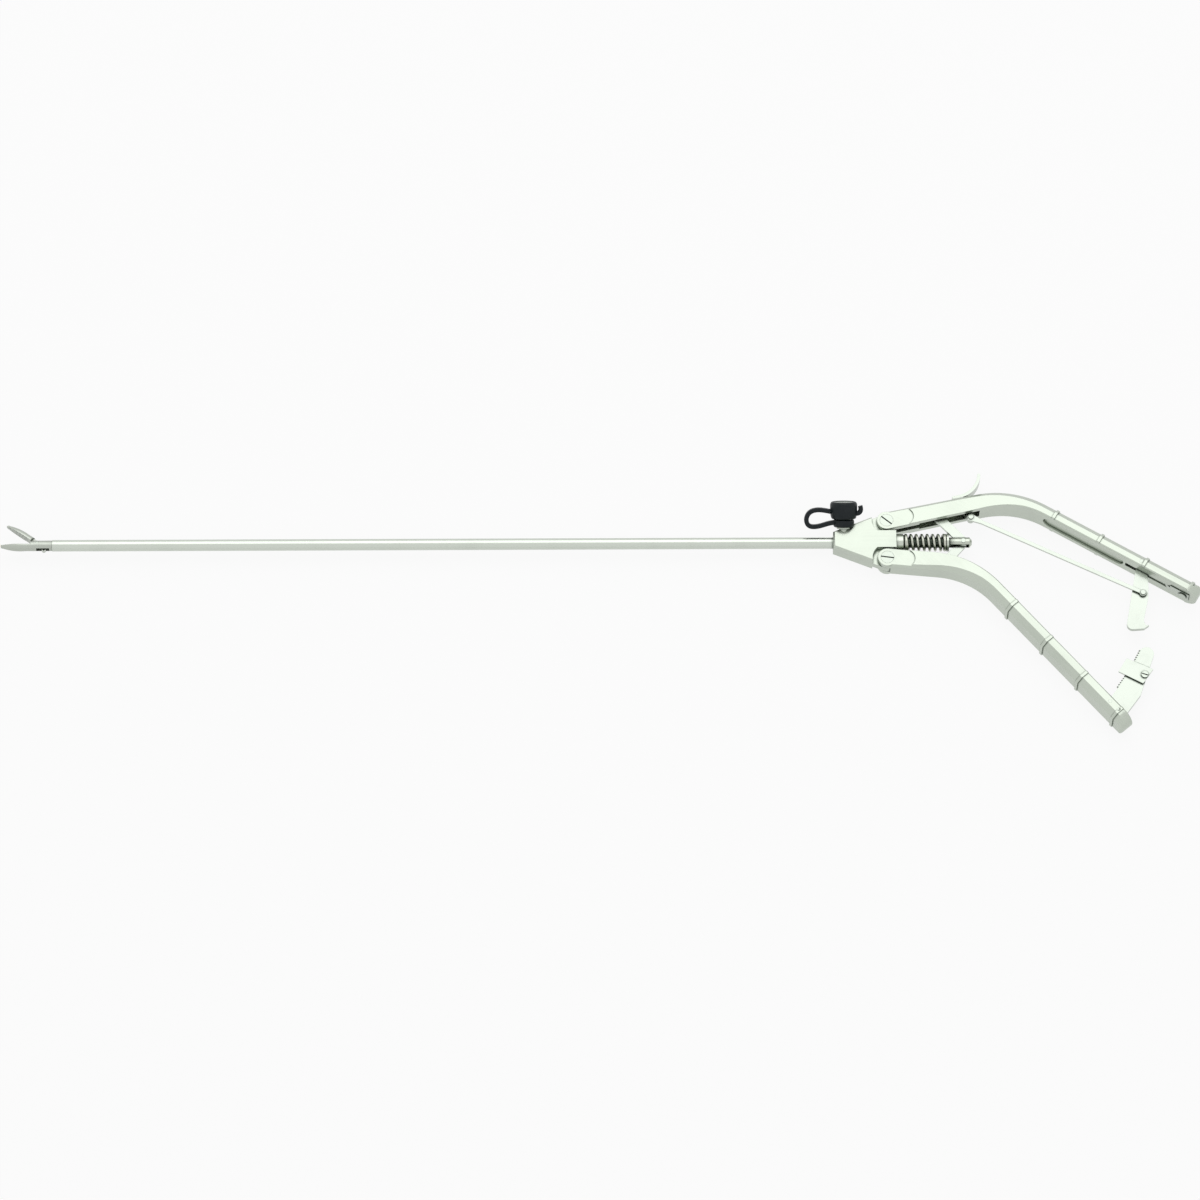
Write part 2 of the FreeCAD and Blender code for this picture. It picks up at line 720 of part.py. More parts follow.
def make_jaws():
    """The fixed lower jaw, the moving upper jaw with its cam slot, and their pivot pin."""
    form = jaw_envelope("fixed_jaw_form")
    spigot = cylinder("jaw_spigot", "tube_bore", "spigot_length", Vector(size("tube_front"), 0, 0), ALONG)
    whole = fuse("fixed_jaw_whole", [form, spigot])
    knuckle = size("jaw_knuckle_radius")
    floor = -size("jaw_face_gap") / 2
    top = size("tube_radius") + 2
    mouth_rear = JAW_PIVOT.x - math.sqrt(knuckle**2 - (JAW_PIVOT.y - floor) ** 2)
    mouth = plate(
        "mouth_cut",
        [
            Vector(mouth_rear, floor, 0),
            (polar(JAW_PIVOT, knuckle, 170), Vector(JAW_PIVOT.x - 1.2, JAW_PIVOT.y + knuckle, 0)),
            Vector(JAW_PIVOT.x - 1.2, top, 0),
            Vector(size("jaw_tip") - 2, top, 0),
            Vector(size("jaw_tip") - 2, floor, 0),
        ],
        "tube_radius * 2 + 2",
    )
    slot_front = JAW_PIVOT.x - knuckle - 0.2
    slot_rear = size("tube_front") + 3.4
    slot = doc.addObject("Part::Box", "jaw_tail_slot")
    slot.Length, slot.Width = slot_rear - slot_front, 2 * top
    slot.setExpression("Height", "sizes.jaw_slot_half_width * 2")
    slot.Placement = Placement(Vector(slot_front, -0.45, -size("jaw_slot_half_width")), Rotation())
    window = doc.addObject("Part::Box", "jaw_underside_window")
    window.Length, window.Width = 5.6, top
    window.setExpression("Height", "sizes.jaw_slot_half_width * 2")
    window.Placement = Placement(Vector(JAW_PIVOT.x - 0.4, -top, -size("jaw_slot_half_width")), Rotation())
    rod_way = cylinder(
        "jaw_rod_bore", "rod_radius + side_gap", "spigot_length + 1", Vector(size("tube_front"), 0, 0), ALONG
    )
    fork_way = doc.addObject("Part::Box", "jaw_fork_way")
    fork_way.Length, fork_way.Width = slot_rear - slot_front, 1.9
    fork_way.setExpression("Height", "sizes.jaw_slot_half_width * 2")
    fork_way.Placement = Placement(Vector(slot_front + 1.6, -1.3, -size("jaw_slot_half_width")), Rotation())
    pin_hole = cross_pin("jaw_pin_hole", JAW_PIVOT, "jaw_pin_radius", "tube_radius * 3")
    fixed = cut(
        "fixed_jaw_cut", whole, [mouth, slot, window, fork_way, rod_way, pin_hole, gripping_cuts("lower", -1)]
    )
    keep(fixed, "fixed_jaw")
    pin = cross_pin("jaw_pin_form", JAW_PIVOT, "jaw_pin_radius", "tube_radius * 2")
    skin = cylinder(
        "jaw_pin_skin", "jaw_radius", "jaw_pin_radius * 4", JAW_PIVOT - ALONG * 1.2 - Vector(0, JAW_PIVOT.y, 0), ALONG
    )
    trimmed = doc.addObject("Part::Common", "jaw_pin_trimmed")
    trimmed.Base, trimmed.Tool = pin, skin
    keep(trimmed, "jaw_pivot_pin")

    upper_form = jaw_envelope("moving_jaw_form")
    gap = size("jaw_face_gap") / 2
    away = plate(
        "upper_half",
        [
            Vector(size("jaw_tip") - 1, gap, 0),
            Vector(JAW_PIVOT.x - knuckle, gap, 0),
            Vector(JAW_PIVOT.x - knuckle + 1.2, top, 0),
            Vector(size("jaw_tip") - 1, top, 0),
        ],
        "tube_radius * 2 + 2",
    )
    crown = doc.addObject("Part::Common", "moving_jaw_crown")
    crown.Base, crown.Tool = upper_form, away
    relief = cross_pin("knuckle_relief", JAW_PIVOT, "jaw_knuckle_radius + side_gap", "tube_radius * 3")
    crown_cut = cut("moving_crown", crown, [relief])
    opening = size("jaw_opening")
    travel = size("rod_travel")

    def slot_point(share):
        """Where the drive pin lies in the closed jaw when the rod has made a share of its travel."""
        at = DRIVE_PIN + ALONG * (travel * share)
        return turned(at, JAW_PIVOT, opening * (1 - share))

    start, middle, end = (slot_point(share) for share in (0.0, 0.5, 1.0))
    pin_room = size("drive_pin_radius") + size("running_gap")
    wall = pin_room + size("jaw_tail_wall")
    arc = Part.Arc(start, middle, end).toShape().Curve
    # The slot and the tail round it are bands either side of the pin's path.
    side = 1 if arc.Center.y < middle.y else -1

    def band(room):
        """A banana outline at one distance from the pin's path."""
        outward = lambda point: (point - arc.Center).normalize() * (room * side)
        ahead = lambda point, way: (
            Rotation(UP, 90).multVec((point - arc.Center).normalize()) * (room * way * side)
        )
        steps = [start + outward(start)]
        steps.append((middle + outward(middle), end + outward(end)))
        steps.append((end - ahead(end, 1), end - outward(end)))
        steps.append((middle - outward(middle), start - outward(start)))
        steps.append((start + ahead(start, 1), start + outward(start)))
        return steps[1:]

    tail = plate("cam_tail", band(wall), "jaw_tail_thickness")
    hub = cross_pin("jaw_hub", JAW_PIVOT, "jaw_pin_radius + 0.75", "jaw_tail_thickness")
    neck = plate(
        "jaw_neck",
        [
            Vector(JAW_PIVOT.x - knuckle + 0.1, gap, 0),
            Vector(JAW_PIVOT.x, JAW_PIVOT.y - 1.3, 0),
            start - Vector(0, wall, 0),
            start + Vector(0, wall, 0),
            Vector(JAW_PIVOT.x, JAW_PIVOT.y + 1.3, 0),
            Vector(JAW_PIVOT.x - knuckle - 1.2, JAW_PIVOT.y + 1.0, 0),
        ],
        "jaw_tail_thickness",
    )
    solid = fuse("moving_jaw_whole", [crown_cut, neck, hub, tail])
    cam_slot = plate("cam_slot", band(pin_room), "jaw_tail_thickness * 2")
    jaw_pin_way = cross_pin("jaw_pin_way", JAW_PIVOT, "jaw_pin_radius + running_gap", "tube_radius * 3")
    moving = cut("moving_jaw_cut", solid, [cam_slot, jaw_pin_way, gripping_cuts("upper", 1)])
    moving.Placement = Placement(Vector(), Rotation(UP, -opening), JAW_PIVOT)
    keep(moving, "moving_jaw")


def make_pull_rod():
    """The thin rod to the jaw with its fork, the thick rear end with its slot, and both cross pins."""
    front = DRIVE_PIN.x - 0.75
    fork_length = 5.6
    fork = doc.addObject("Part::Box", "rod_fork_form")
    fork.Length, fork.Width = fork_length, 1.5
    fork.setExpression("Height", "sizes.rod_radius * 2")
    fork.Placement = Placement(Vector(front, DRIVE_PIN.y - 0.75, -size("rod_radius")), Rotation())
    bar = doc.addObject("Part::Cylinder", "pull_rod_bar")
    bar.setExpression("Radius", "sizes.rod_radius")
    bar.Height = size("rod_end_front") - front - fork_length + 0.4
    bar.Placement = Placement(Vector(front + fork_length - 0.4, 0, 0), Rotation(UP, ALONG))
    fork_slot = block(
        "rod_fork_slot",
        Vector(front + fork_length / 2 - 1, DRIVE_PIN.y, 0),
        f"{fork_length}",
        "tube_radius * 2",
        "jaw_tail_thickness + running_gap + running_gap",
    )
    hole = cross_pin("drive_pin_hole", DRIVE_PIN, "drive_pin_radius", "tube_radius * 2")
    relief = cross_pin("rod_tip_relief", JAW_PIVOT, "jaw_pin_radius + side_gap", "tube_radius * 2")
    keep(cut("pull_rod_cut", fuse("pull_rod_form", [fork, bar]), [fork_slot, hole, relief]), "pull_rod")
    keep(cross_pin("drive_pin", DRIVE_PIN, "drive_pin_radius", "rod_radius * 2"), "jaw_drive_pin")

    rounded = spun(
        "rod_end_form",
        [
            ("rod_end_front", "0"),
            ("rod_end_rear", "0"),
            ("rod_end_rear", "rod_end_radius - 1.2"),
            ("rod_end_rear - 1", "rod_end_radius"),
            ("rod_end_front + 0.6", "rod_end_radius"),
            ("rod_end_front", "rod_end_radius - 0.6"),
        ],
    )
    slot_middle = Vector((size("rod_slot_front") + size("rod_slot_rear")) / 2, 0, 0)
    slot = block(
        "rod_end_slot",
        slot_middle,
        "rod_slot_rear - rod_slot_front",
        "rod_end_radius * 3",
        "link_thickness * 2 + side_gap + side_gap + side_gap",
    )
    pin_hole = cross_pin("cross_pin_hole", CROSS_PIN, "cross_pin_radius", "rod_end_radius * 3")
    keep(cut("rod_end_cut", rounded, [slot, pin_hole]), "rod_end")
    keep(cross_pin("cross_pin", CROSS_PIN, "cross_pin_radius", "rod_end_radius * 2"), "rod_cross_pin")


UPPER_LINK_PIVOT = Vector(size("upper_link_place"), size("upper_link_height"), 0)
LOWER_LINK_PIVOT = Vector(size("lower_link_place"), -size("lower_link_height"), 0)


def make_links():
    """The two links that turn the handles' swing into the rod's pull, side by side on one pin."""
    half = size("link_width") / 2
    levels = ("side_gap / 2", "0 - side_gap / 2 - link_thickness")
    for label, far, level in zip(("upper", "lower"), (UPPER_LINK_PIVOT, LOWER_LINK_PIVOT), levels):
        ahead = (CROSS_PIN - far).normalize()
        across = Vector(-ahead.y, ahead.x, 0)
        outline = [
            CROSS_PIN - across * half,
            (CROSS_PIN + ahead * half, CROSS_PIN + across * half),
            far + across * half,
            (far - ahead * half, far - across * half),
        ]
        outline = outline[1:] + outline[:1]
        holes = [(CROSS_PIN, "cross_pin_radius + running_gap"), (far, "link_pin_radius + link_hole_gap")]
        keep(plate(f"{label}_link_plate", outline, "link_thickness", holes, level=level), f"{label}_link")
        pin = cross_pin(f"{label}_link_pin_form", far, "link_pin_radius", "housing_depth")
        keep(pin, f"{label}_link_pin")


def make_spring():
    """The return spring, squeezed between the gland nut and a washer that the links lean on."""
    start = size("gland_rear") + size("wire_radius") + 0.02
    end = size("washer_front") - size("wire_radius") - 0.02
    middle_radius = size("spring_radius") - size("wire_radius")
    turns = size("spring_turns")
    helix = Part.makeHelix((end - start) / turns, end - start, middle_radius)
    profile = Part.Wire(Part.makeCircle(size("wire_radius"), Vector(middle_radius, 0, 0), Vector(0, 1, 0)))
    coil = Part.Wire(helix).makePipeShell([profile], True, True)
    spring = doc.addObject("Part::Feature", "coil_spring")
    spring.Shape = coil
    spring.Placement = Placement(Vector(start, 0, 0), Rotation(UP, ALONG))
    keep(spring, "return_spring")
    front = Vector(size("washer_front"), 0, 0)
    disc = cylinder("washer_disc", "washer_radius", "washer_thickness", front, ALONG)
    hole = cylinder("washer_hole", "rod_end_radius + side_gap", "washer_thickness * 3", front - ALONG, ALONG)
    keep(cut("washer", disc, [hole]), "spring_washer")


def on_chain(points, half_depth):
    """A test for the edges on both flat faces whose middle lies on a chain of points."""
    chain = Part.makePolygon(points)

    def wanted(edge):
        middle = edge_middle(edge)
        if abs(abs(middle.z) - half_depth) > 0.001:
            return False
        return chain.distToShape(Part.Vertex(Vector(middle.x, middle.y, 0)))[0] < 0.01

    return wanted


def bar_solid(which, bar, name, rise, depth):
    """One bevelled bar, plain or raised by the height of its ribs."""
    steps, outer, inner = bar.outline(rise)
    body = plate(f"{which}_{name}", steps, depth)
    half = value(depth) / 2
    dress(body, f"{which}_{name}_bevel", "Chamfer", "outer_bevel", on_chain(outer, half))
    dress(body, f"{which}_{name}_edge", "Chamfer", "inner_bevel", on_chain(inner, half))
    return body


def make_handle(which, bar, link_pivot):
    """A bent handle: forked ears and a link slot in front, a flared, ribbed and slotted tail behind."""
    body = bar_solid(which, bar, "bar", 0.0, "handle_depth")
    # The front is narrower than the tail, seen from above, and flares out through the bend.
    narrow = size("handle_front_depth") / 2
    full = size("handle_depth") / 2
    flare_start = bar.front(bar.corner_distance - size("flare_before_corner"), 0).x
    flare_end = bar.front(bar.corner_distance + size("flare_after_corner"), 0).x
    ahead = bar.pivot.x - size("ear_radius") - 2
    for face in (1, -1):
        waist = add_sketch(body, f"{which}_waist_{face + 2}", role="XZ_Plane")
        corners = [
            (ahead, narrow), (flare_start, narrow), (flare_end, full), (flare_end, full + 2), (ahead, full + 2)
        ]
        draw_outline(waist, [Vector(along, face * height, 0) for along, height in corners])
        pocket(body, waist)

    grown = bar_solid(which, bar, "rib_bar", size("rib_rise"), "handle_depth + rib_rise + rib_rise")
    slices = [
        block(
            f"{which}_rib_{number}",
            bar.tail(size(f"{which}_rib_start") + number * size("rib_pitch"), 0),
            "rib_width",
            f"{which}_tail_thickness * 3",
            "handle_depth * 2",
            bar.tail_angle,
        )
        for number in range(int(size("rib_count")))
    ]
    ribs = doc.addObject("Part::Common", f"{which}_ribs")
    ribs.Base, ribs.Tool = grown, fuse(f"{which}_rib_slices", slices)
    ear_form = cross_pin(f"{which}_ear", bar.pivot, "ear_radius", "housing_depth")
    whole = fuse(f"{which}_handle_form", [body, ribs, ear_form])

    # The end is a half circle, seen on the grip's inner face, and its outer edge is rounded over.
    tail_thickness = f"{which}_tail_thickness"
    half_tail = size(tail_thickness) / 2
    square = block(
        f"{which}_end_square",
        bar.tail(bar.tail_length - full / 2 + 1, 0),
        "handle_depth / 2 + 2",
        f"{tail_thickness} * 3",
        "handle_depth * 2",
        bar.tail_angle,
    )
    outward = bar.tail(0, 1) - bar.tail(0, 0)
    tongue = cylinder(
        f"{which}_end_tongue",
        "handle_depth / 2",
        f"{tail_thickness} * 3",
        bar.tail(bar.tail_length - full, -3 * half_tail),
        outward,
    )
    round_off = size("end_radius")
    centre = bar.tail(bar.tail_length - round_off, half_tail - round_off)
    outside = bar.tail(bar.tail_length - round_off / 2 + 1, half_tail - round_off / 2 + 1)
    end_block = block(
        f"{which}_end_block", outside, "end_radius + 2", "end_radius + 2", "handle_depth * 2", bar.tail_angle
    )
    end_arc = cross_pin(f"{which}_end_arc", centre, "end_radius", "handle_depth * 3")
    tools = [cut(f"{which}_end_shape", square, [tongue]), cut(f"{which}_end_rounding", end_block, [end_arc])]
    half_width = size("housing_depth") / 2
    ear = size("ear_radius")
    for face in (1, -1):
        level = half_width if face > 0 else -half_width - 5
        end = bar.front(size("pad_length"), 0) + UP * level
        tools.append(cylinder(f"{which}_pad_end_{face + 2}", "ear_radius + 0.2", "5", end))
        middle = bar.front((size("pad_length") - ear - 3) / 2, 0) + UP * (level + 2.5)
        tools.append(
            block(f"{which}_pad_{face + 2}", middle, "pad_length + ear_radius + 3", "ear_radius * 4", "5", bar.front_angle)
        )
    # The fork clears the housing's tongue, and its slot runs on behind for the link.
    tools.append(cross_pin(f"{which}_fork_round", bar.pivot, "ear_radius + 0.3", "fork_width"))
    fork_middle = bar.front(-ear, 0)
    tools.append(
        block(f"{which}_fork", fork_middle, "ear_radius * 2", "ear_radius * 3", "fork_width", bar.front_angle)
    )
    slot_end = f"{which}_slot_end"
    slot_depth = f"{which}_slot_depth"
    slot_half = size("front_thickness") / 2 + 1 - size(slot_depth) / 2 - 0.5
    middle = bar.front(size(slot_end) / 2, -slot_half)
    tools.append(
        block(f"{which}_link_slot", middle, slot_end, f"{slot_depth} + 1", "fork_width", bar.front_angle)
    )
    middle = bar.front((size(slot_end) + size("pad_length") + size("ear_radius") + 2) / 2, -slot_half)
    tools.append(
        block(
            f"{which}_link_room",
            middle,
            f"{slot_end} - pad_length - ear_radius - 2",
            f"{slot_depth} + 1",
            "link_slot_width",
            bar.front_angle,
        )
    )
    tools.append(cross_pin(f"{which}_pivot_way", bar.pivot, "screw_radius + running_gap", "handle_depth * 2"))
    head_base = bar.pivot + UP * (half_width - size("screw_head_depth") - size("running_gap"))
    tools.append(
        cylinder(f"{which}_head_seat", "screw_head_radius + running_gap", "screw_head_depth + 5", head_base)
    )
    tools.append(cross_pin(f"{which}_link_pin_way", link_pivot, "link_pin_radius", "housing_depth"))

    # A long shallow recess in the inner face of the grip, with round ends.
    recess_floor = size("recess_depth") - half_tail
    start = size("recess_start")
    stop = start + size("recess_length")
    for number, along in enumerate((start, stop)):
        base = bar.tail(along, recess_floor)
        tools.append(
            cylinder(f"{which}_recess_end_{number}", "recess_width / 2", "recess_depth + 4", base, -outward)
        )
    middle = bar.tail((start + stop) / 2, recess_floor - size("recess_depth") / 2 - 2)
    tools.append(
        block(f"{which}_recess", middle, "recess_length", "recess_depth + 4", "recess_width", bar.tail_angle)
    )

    slot_start, slot_stop = size(f"{which}_tail_slot_start"), size(f"{which}_tail_slot_end")
    floor = size("tail_slot_depth") - half_tail
    middle = bar.tail((slot_start + slot_stop) / 2, floor - size("tail_slot_depth") / 2 - 1)
    tools.append(
        block(
            f"{which}_tail_slot",
            middle,
            f"{which}_tail_slot_end - {which}_tail_slot_start",
            "tail_slot_depth + 2",
            "tail_slot_width",
            bar.tail_angle,
        )
    )
    return whole, tools


LEVER_PIVOT = UPPER.front(size("lever_pivot_along"), size("lever_pivot_outer"))
LEVER_ARM = UPPER.front(size("lever_arm_along"), size("lever_arm_outer"))
PAWL_PIVOT = UPPER.tail(size("pawl_pivot_along"), size("pawl_pivot_outer"))
PAWL_ROD = Vector(size("pawl_rod_place"), size("pawl_rod_height"), 0)
HOOK = Vector(size("pawl_hook_place"), size("pawl_hook_height"), 0)


def make_upper_handle():
    whole, tools = make_handle("upper", UPPER, UPPER_LINK_PIVOT)
    lever_middle = size("lever_slot_start") + size("lever_slot_length") / 2
    tools.append(
        block(
            "lever_slot",
            UPPER.front(lever_middle, 0),
            "lever_slot_length",
            "front_thickness * 2",
            "lever_slot_width",
            UPPER.front_angle,
        )
    )
    tools.append(cross_pin("lever_pin_way", LEVER_PIVOT, "release_pin_radius", "housing_depth"))
    tools.append(cross_pin("pawl_pin_way", PAWL_PIVOT, "pawl_pin_radius", "handle_depth * 2"))
    outward = UPPER.tail(0, 1) - UPPER.tail(0, 0)
    screw_base = UPPER.tail(size("leaf_screw_along"), -size("upper_tail_thickness") / 2 - 1)
    tools.append(cylinder("leaf_screw_way", "leaf_screw_radius / 2", "4.4", screw_base, outward))
    keep(cut("upper_handle_cut", whole, tools), "upper_handle")
    keep(cross_pin("lever_pin_form", LEVER_PIVOT, "release_pin_radius", "housing_depth"), "lever_pin")
    keep(cross_pin("pawl_pin_form", PAWL_PIVOT, "pawl_pin_radius", "handle_depth"), "pawl_pin")


def make_lower_handle():
    whole, tools = make_handle("lower", LOWER, LOWER_LINK_PIVOT)
    for number, place in enumerate(rack_rivets()):
        tools.append(cross_pin(f"rack_rivet_way_{number}", place, "rack_rivet_radius", "handle_depth * 2"))
    keep(cut("lower_handle_cut", whole, tools), "lower_handle")


def make_release_lever():
    """The thumb lever: a curved blade on a foot, and an arm that reaches through the handle to the rod."""
    hub = size("lever_hub_radius")
    eye = size("release_eye_radius")
    surface = size("front_thickness") / 2 + size("lever_foot_gap")
    foot_top = surface + size("lever_foot_height")
    along = size("lever_pivot_along")
    down = (LEVER_ARM - LEVER_PIVOT).normalize()
    across = Vector(-down.y, down.x, 0)
    stem = plate(
        "lever_stem",
        [
            LEVER_PIVOT + across * hub,
            LEVER_ARM + across * eye,
            (LEVER_ARM + down * eye, LEVER_ARM - across * eye),
            LEVER_PIVOT - across * hub,
            UPPER.front(along - 3.6, surface + 0.4),
            UPPER.front(along - 3.6, foot_top - 0.4),
            UPPER.front(along + 1.4, foot_top),
        ],
        "lever_thickness",
    )
    foot = block(
        "lever_foot",
        UPPER.front(along - 2.3, (surface + foot_top) / 2),
        "4.6",
        "lever_foot_height",
        "blade_width",
        UPPER.front_angle,
    )
    radius = size("blade_radius")
    half = size("blade_thickness") / 2
    start_angle = -90 + size("blade_start_angle")
    stop_angle = start_angle + size("blade_sweep")
    begin = (along - 1.3, foot_top - half)
    centre = UPPER.front(
        begin[0] - radius * math.sin(math.radians(size("blade_start_angle"))),
        begin[1] + radius * math.cos(math.radians(size("blade_start_angle"))),
    )
    at = lambda reach, angle: polar(centre, reach, angle + UPPER.front_angle)
    middle_angle = (start_angle + stop_angle) / 2
    tip = at(radius, stop_angle + math.degrees(half / radius))
    blade = plate(
        "lever_blade",
        [
            (at(radius + half, middle_angle), at(radius + half, stop_angle)),
            (tip, at(radius - half, stop_angle)),
            (at(radius - half, middle_angle), at(radius - half, start_angle)),
            at(radius + half, start_angle),
        ],
        "blade_width",
    )
    holes = [
        cross_pin("lever_hub_way", LEVER_PIVOT, "release_pin_radius + running_gap", "handle_depth"),
        cross_pin("lever_arm_way", LEVER_ARM, "release_pin_radius", "handle_depth"),
    ]
    keep(cut("lever_cut", fuse("lever_form", [stem, foot, blade]), holes), "release_lever")


def make_release_rod():
    """The flat strip that carries the lever's pull to the pawl, riveted on their near faces."""
    eye = size("release_eye_radius")
    half = size("release_rod_width") / 2
    ahead = (PAWL_ROD - LEVER_ARM).normalize()
    across = Vector(-ahead.y, ahead.x, 0)
    neck = math.sqrt(eye**2 - half**2)
    outline = [
        PAWL_ROD - ahead * neck - across * half,
        (PAWL_ROD + ahead * eye, PAWL_ROD - ahead * neck + across * half),
        LEVER_ARM + ahead * (neck + 4) + across * half,
        LEVER_ARM + ahead * 1.0 + across * eye,
        (LEVER_ARM - ahead * eye, LEVER_ARM + ahead * 1.0 - across * eye),
        LEVER_ARM + ahead * (neck + 4) - across * half,
    ]
    holes = [
        (LEVER_ARM, "release_pin_radius + running_gap"),
        (PAWL_ROD, "release_pin_radius + release_rod_play"),
    ]
    rod = plate(
        "release_strip", outline, "release_rod_thickness", holes, level="lever_thickness / 2 + running_gap"
    )
    keep(rod, "release_rod")
    over = "lever_thickness / 2 + running_gap + release_rod_thickness + running_gap"
    for label, place, behind in (
        ("lever_rivet", LEVER_ARM, "lever_thickness / 2"),
        ("pawl_rivet", PAWL_ROD, "pawl_thickness / 2"),
    ):
        shank = cylinder(
            f"{label}_shank", "release_pin_radius", f"{over} + {behind}", place - UP * value(behind)
        )
        head = cylinder(f"{label}_head", "release_pin_radius + 0.35", "0.4", place + UP * value(over))
        keep(fuse(f"{label}_form", [shank, head]), label)


def make_pawl():
    """The hooked plate that swings on its pin in the upper handle's tail and catches the rack."""
    boss = size("pawl_boss_radius")
    left = Vector(size("pawl_hook_place") - 9.4, size("pawl_hook_height") + 1.2, 0)
    bottom = Vector(size("pawl_hook_place") - 6.6, size("pawl_hook_height") - 1.9, 0)
    heel = UPPER.tail(size("pawl_pivot_along") + 6.0, -0.3)
    outline = [
        left,
        (left + Vector(0.6, -2.3, 0), bottom),
        HOOK + Vector(-2.2, -1.6, 0),
        HOOK,
        HOOK + Vector(-1.5, 0.15, 0),
        HOOK + Vector(-2.2, 2.2, 0),
        PAWL_ROD + Vector(2.3, -2.0, 0),
        PAWL_ROD + Vector(2.6, 3.0, 0),
        UPPER.tail(size("pawl_pivot_along") + 3.6, -1.4),
        heel + Vector(0.1, -0.6, 0),
        (heel + Vector(0.6, 0.1, 0), heel + Vector(-0.2, 0.7, 0)),
        PAWL_PIVOT + Vector(boss * 0.8, boss * 0.6, 0),
        (PAWL_PIVOT + Vector(0, boss, 0), PAWL_PIVOT + Vector(-boss, 0, 0)),
    ]
    holes = [(PAWL_PIVOT, "pawl_pin_radius + running_gap"), (PAWL_ROD, "release_pin_radius")]
    keep(plate("pawl_form", outline, "pawl_thickness", holes), "pawl_plate")

    # The leaf spring lies on the handle's inner face and joggles into the slot, under the pawl's heel.
    face = -size("upper_tail_thickness") / 2
    thick = size("leaf_thickness")
    slot_end = size("upper_tail_slot_end")
    place = lambda along, outer: UPPER.tail(along, outer)
    tip = size("pawl_pivot_along") + 5.0
    leaf = plate(
        "leaf_form",
        [
            place(size("leaf_end"), face),
            place(slot_end - 0.4, face),
            place(slot_end - 3.0, face + 0.9),
            place(tip, face + 0.9),
            place(tip, face + 0.9 - thick),
            place(slot_end - 2.8, face + 0.9 - thick),
            place(slot_end - 0.2, face - thick),
            place(size("leaf_end"), face - thick),
        ],
        "leaf_width",
    )
    broad_start = slot_end + 0.2
    broad = block(
        "leaf_broad",
        place((broad_start + size("leaf_end")) / 2, face - thick / 2),
        "leaf_end - upper_tail_slot_end - 0.2",
        "leaf_thickness",
        "leaf_plate_width",
        UPPER.tail_angle,
    )
    leaf = fuse("leaf_whole", [leaf, broad])
    outward = (UPPER.tail(0, 1) - UPPER.tail(0, 0)).normalize()
    hole = cylinder(
        "leaf_hole", "leaf_screw_radius / 2", "3", place(size("leaf_screw_along"), face - 2), outward
    )
    keep(cut("leaf_cut", leaf, [hole]), "pawl_spring")
    shank = cylinder(
        "leaf_screw_shank", "leaf_screw_radius / 2", "3", place(size("leaf_screw_along"), face - thick), outward
    )
    head = cylinder(
        "leaf_screw_head", "leaf_screw_radius", "0.6", place(size("leaf_screw_along"), face - thick - 0.6), outward
    )
    keep(fuse("leaf_screw_form", [shank, head]), "pawl_spring_screw")


def hook_landing(swing, back=0.0):
    """Where the hook lies against the rack when each handle has swung in, seen with the lower handle held."""
    world = turned(HOOK, UPPER_PIVOT, -swing)
    held = turned(world, LOWER_PIVOT, -swing)
    outward = (held - LOWER_PIVOT).normalize()
    return held + outward * back


def rack_rivets():
    """The two rivets that hold the rack's foot in the lower handle."""
    first, last = size("rack_foot_start"), size("rack_foot_end")
    return [LOWER.tail(first + 2.6, -0.9), LOWER.tail(last - 2.4, -0.9)]


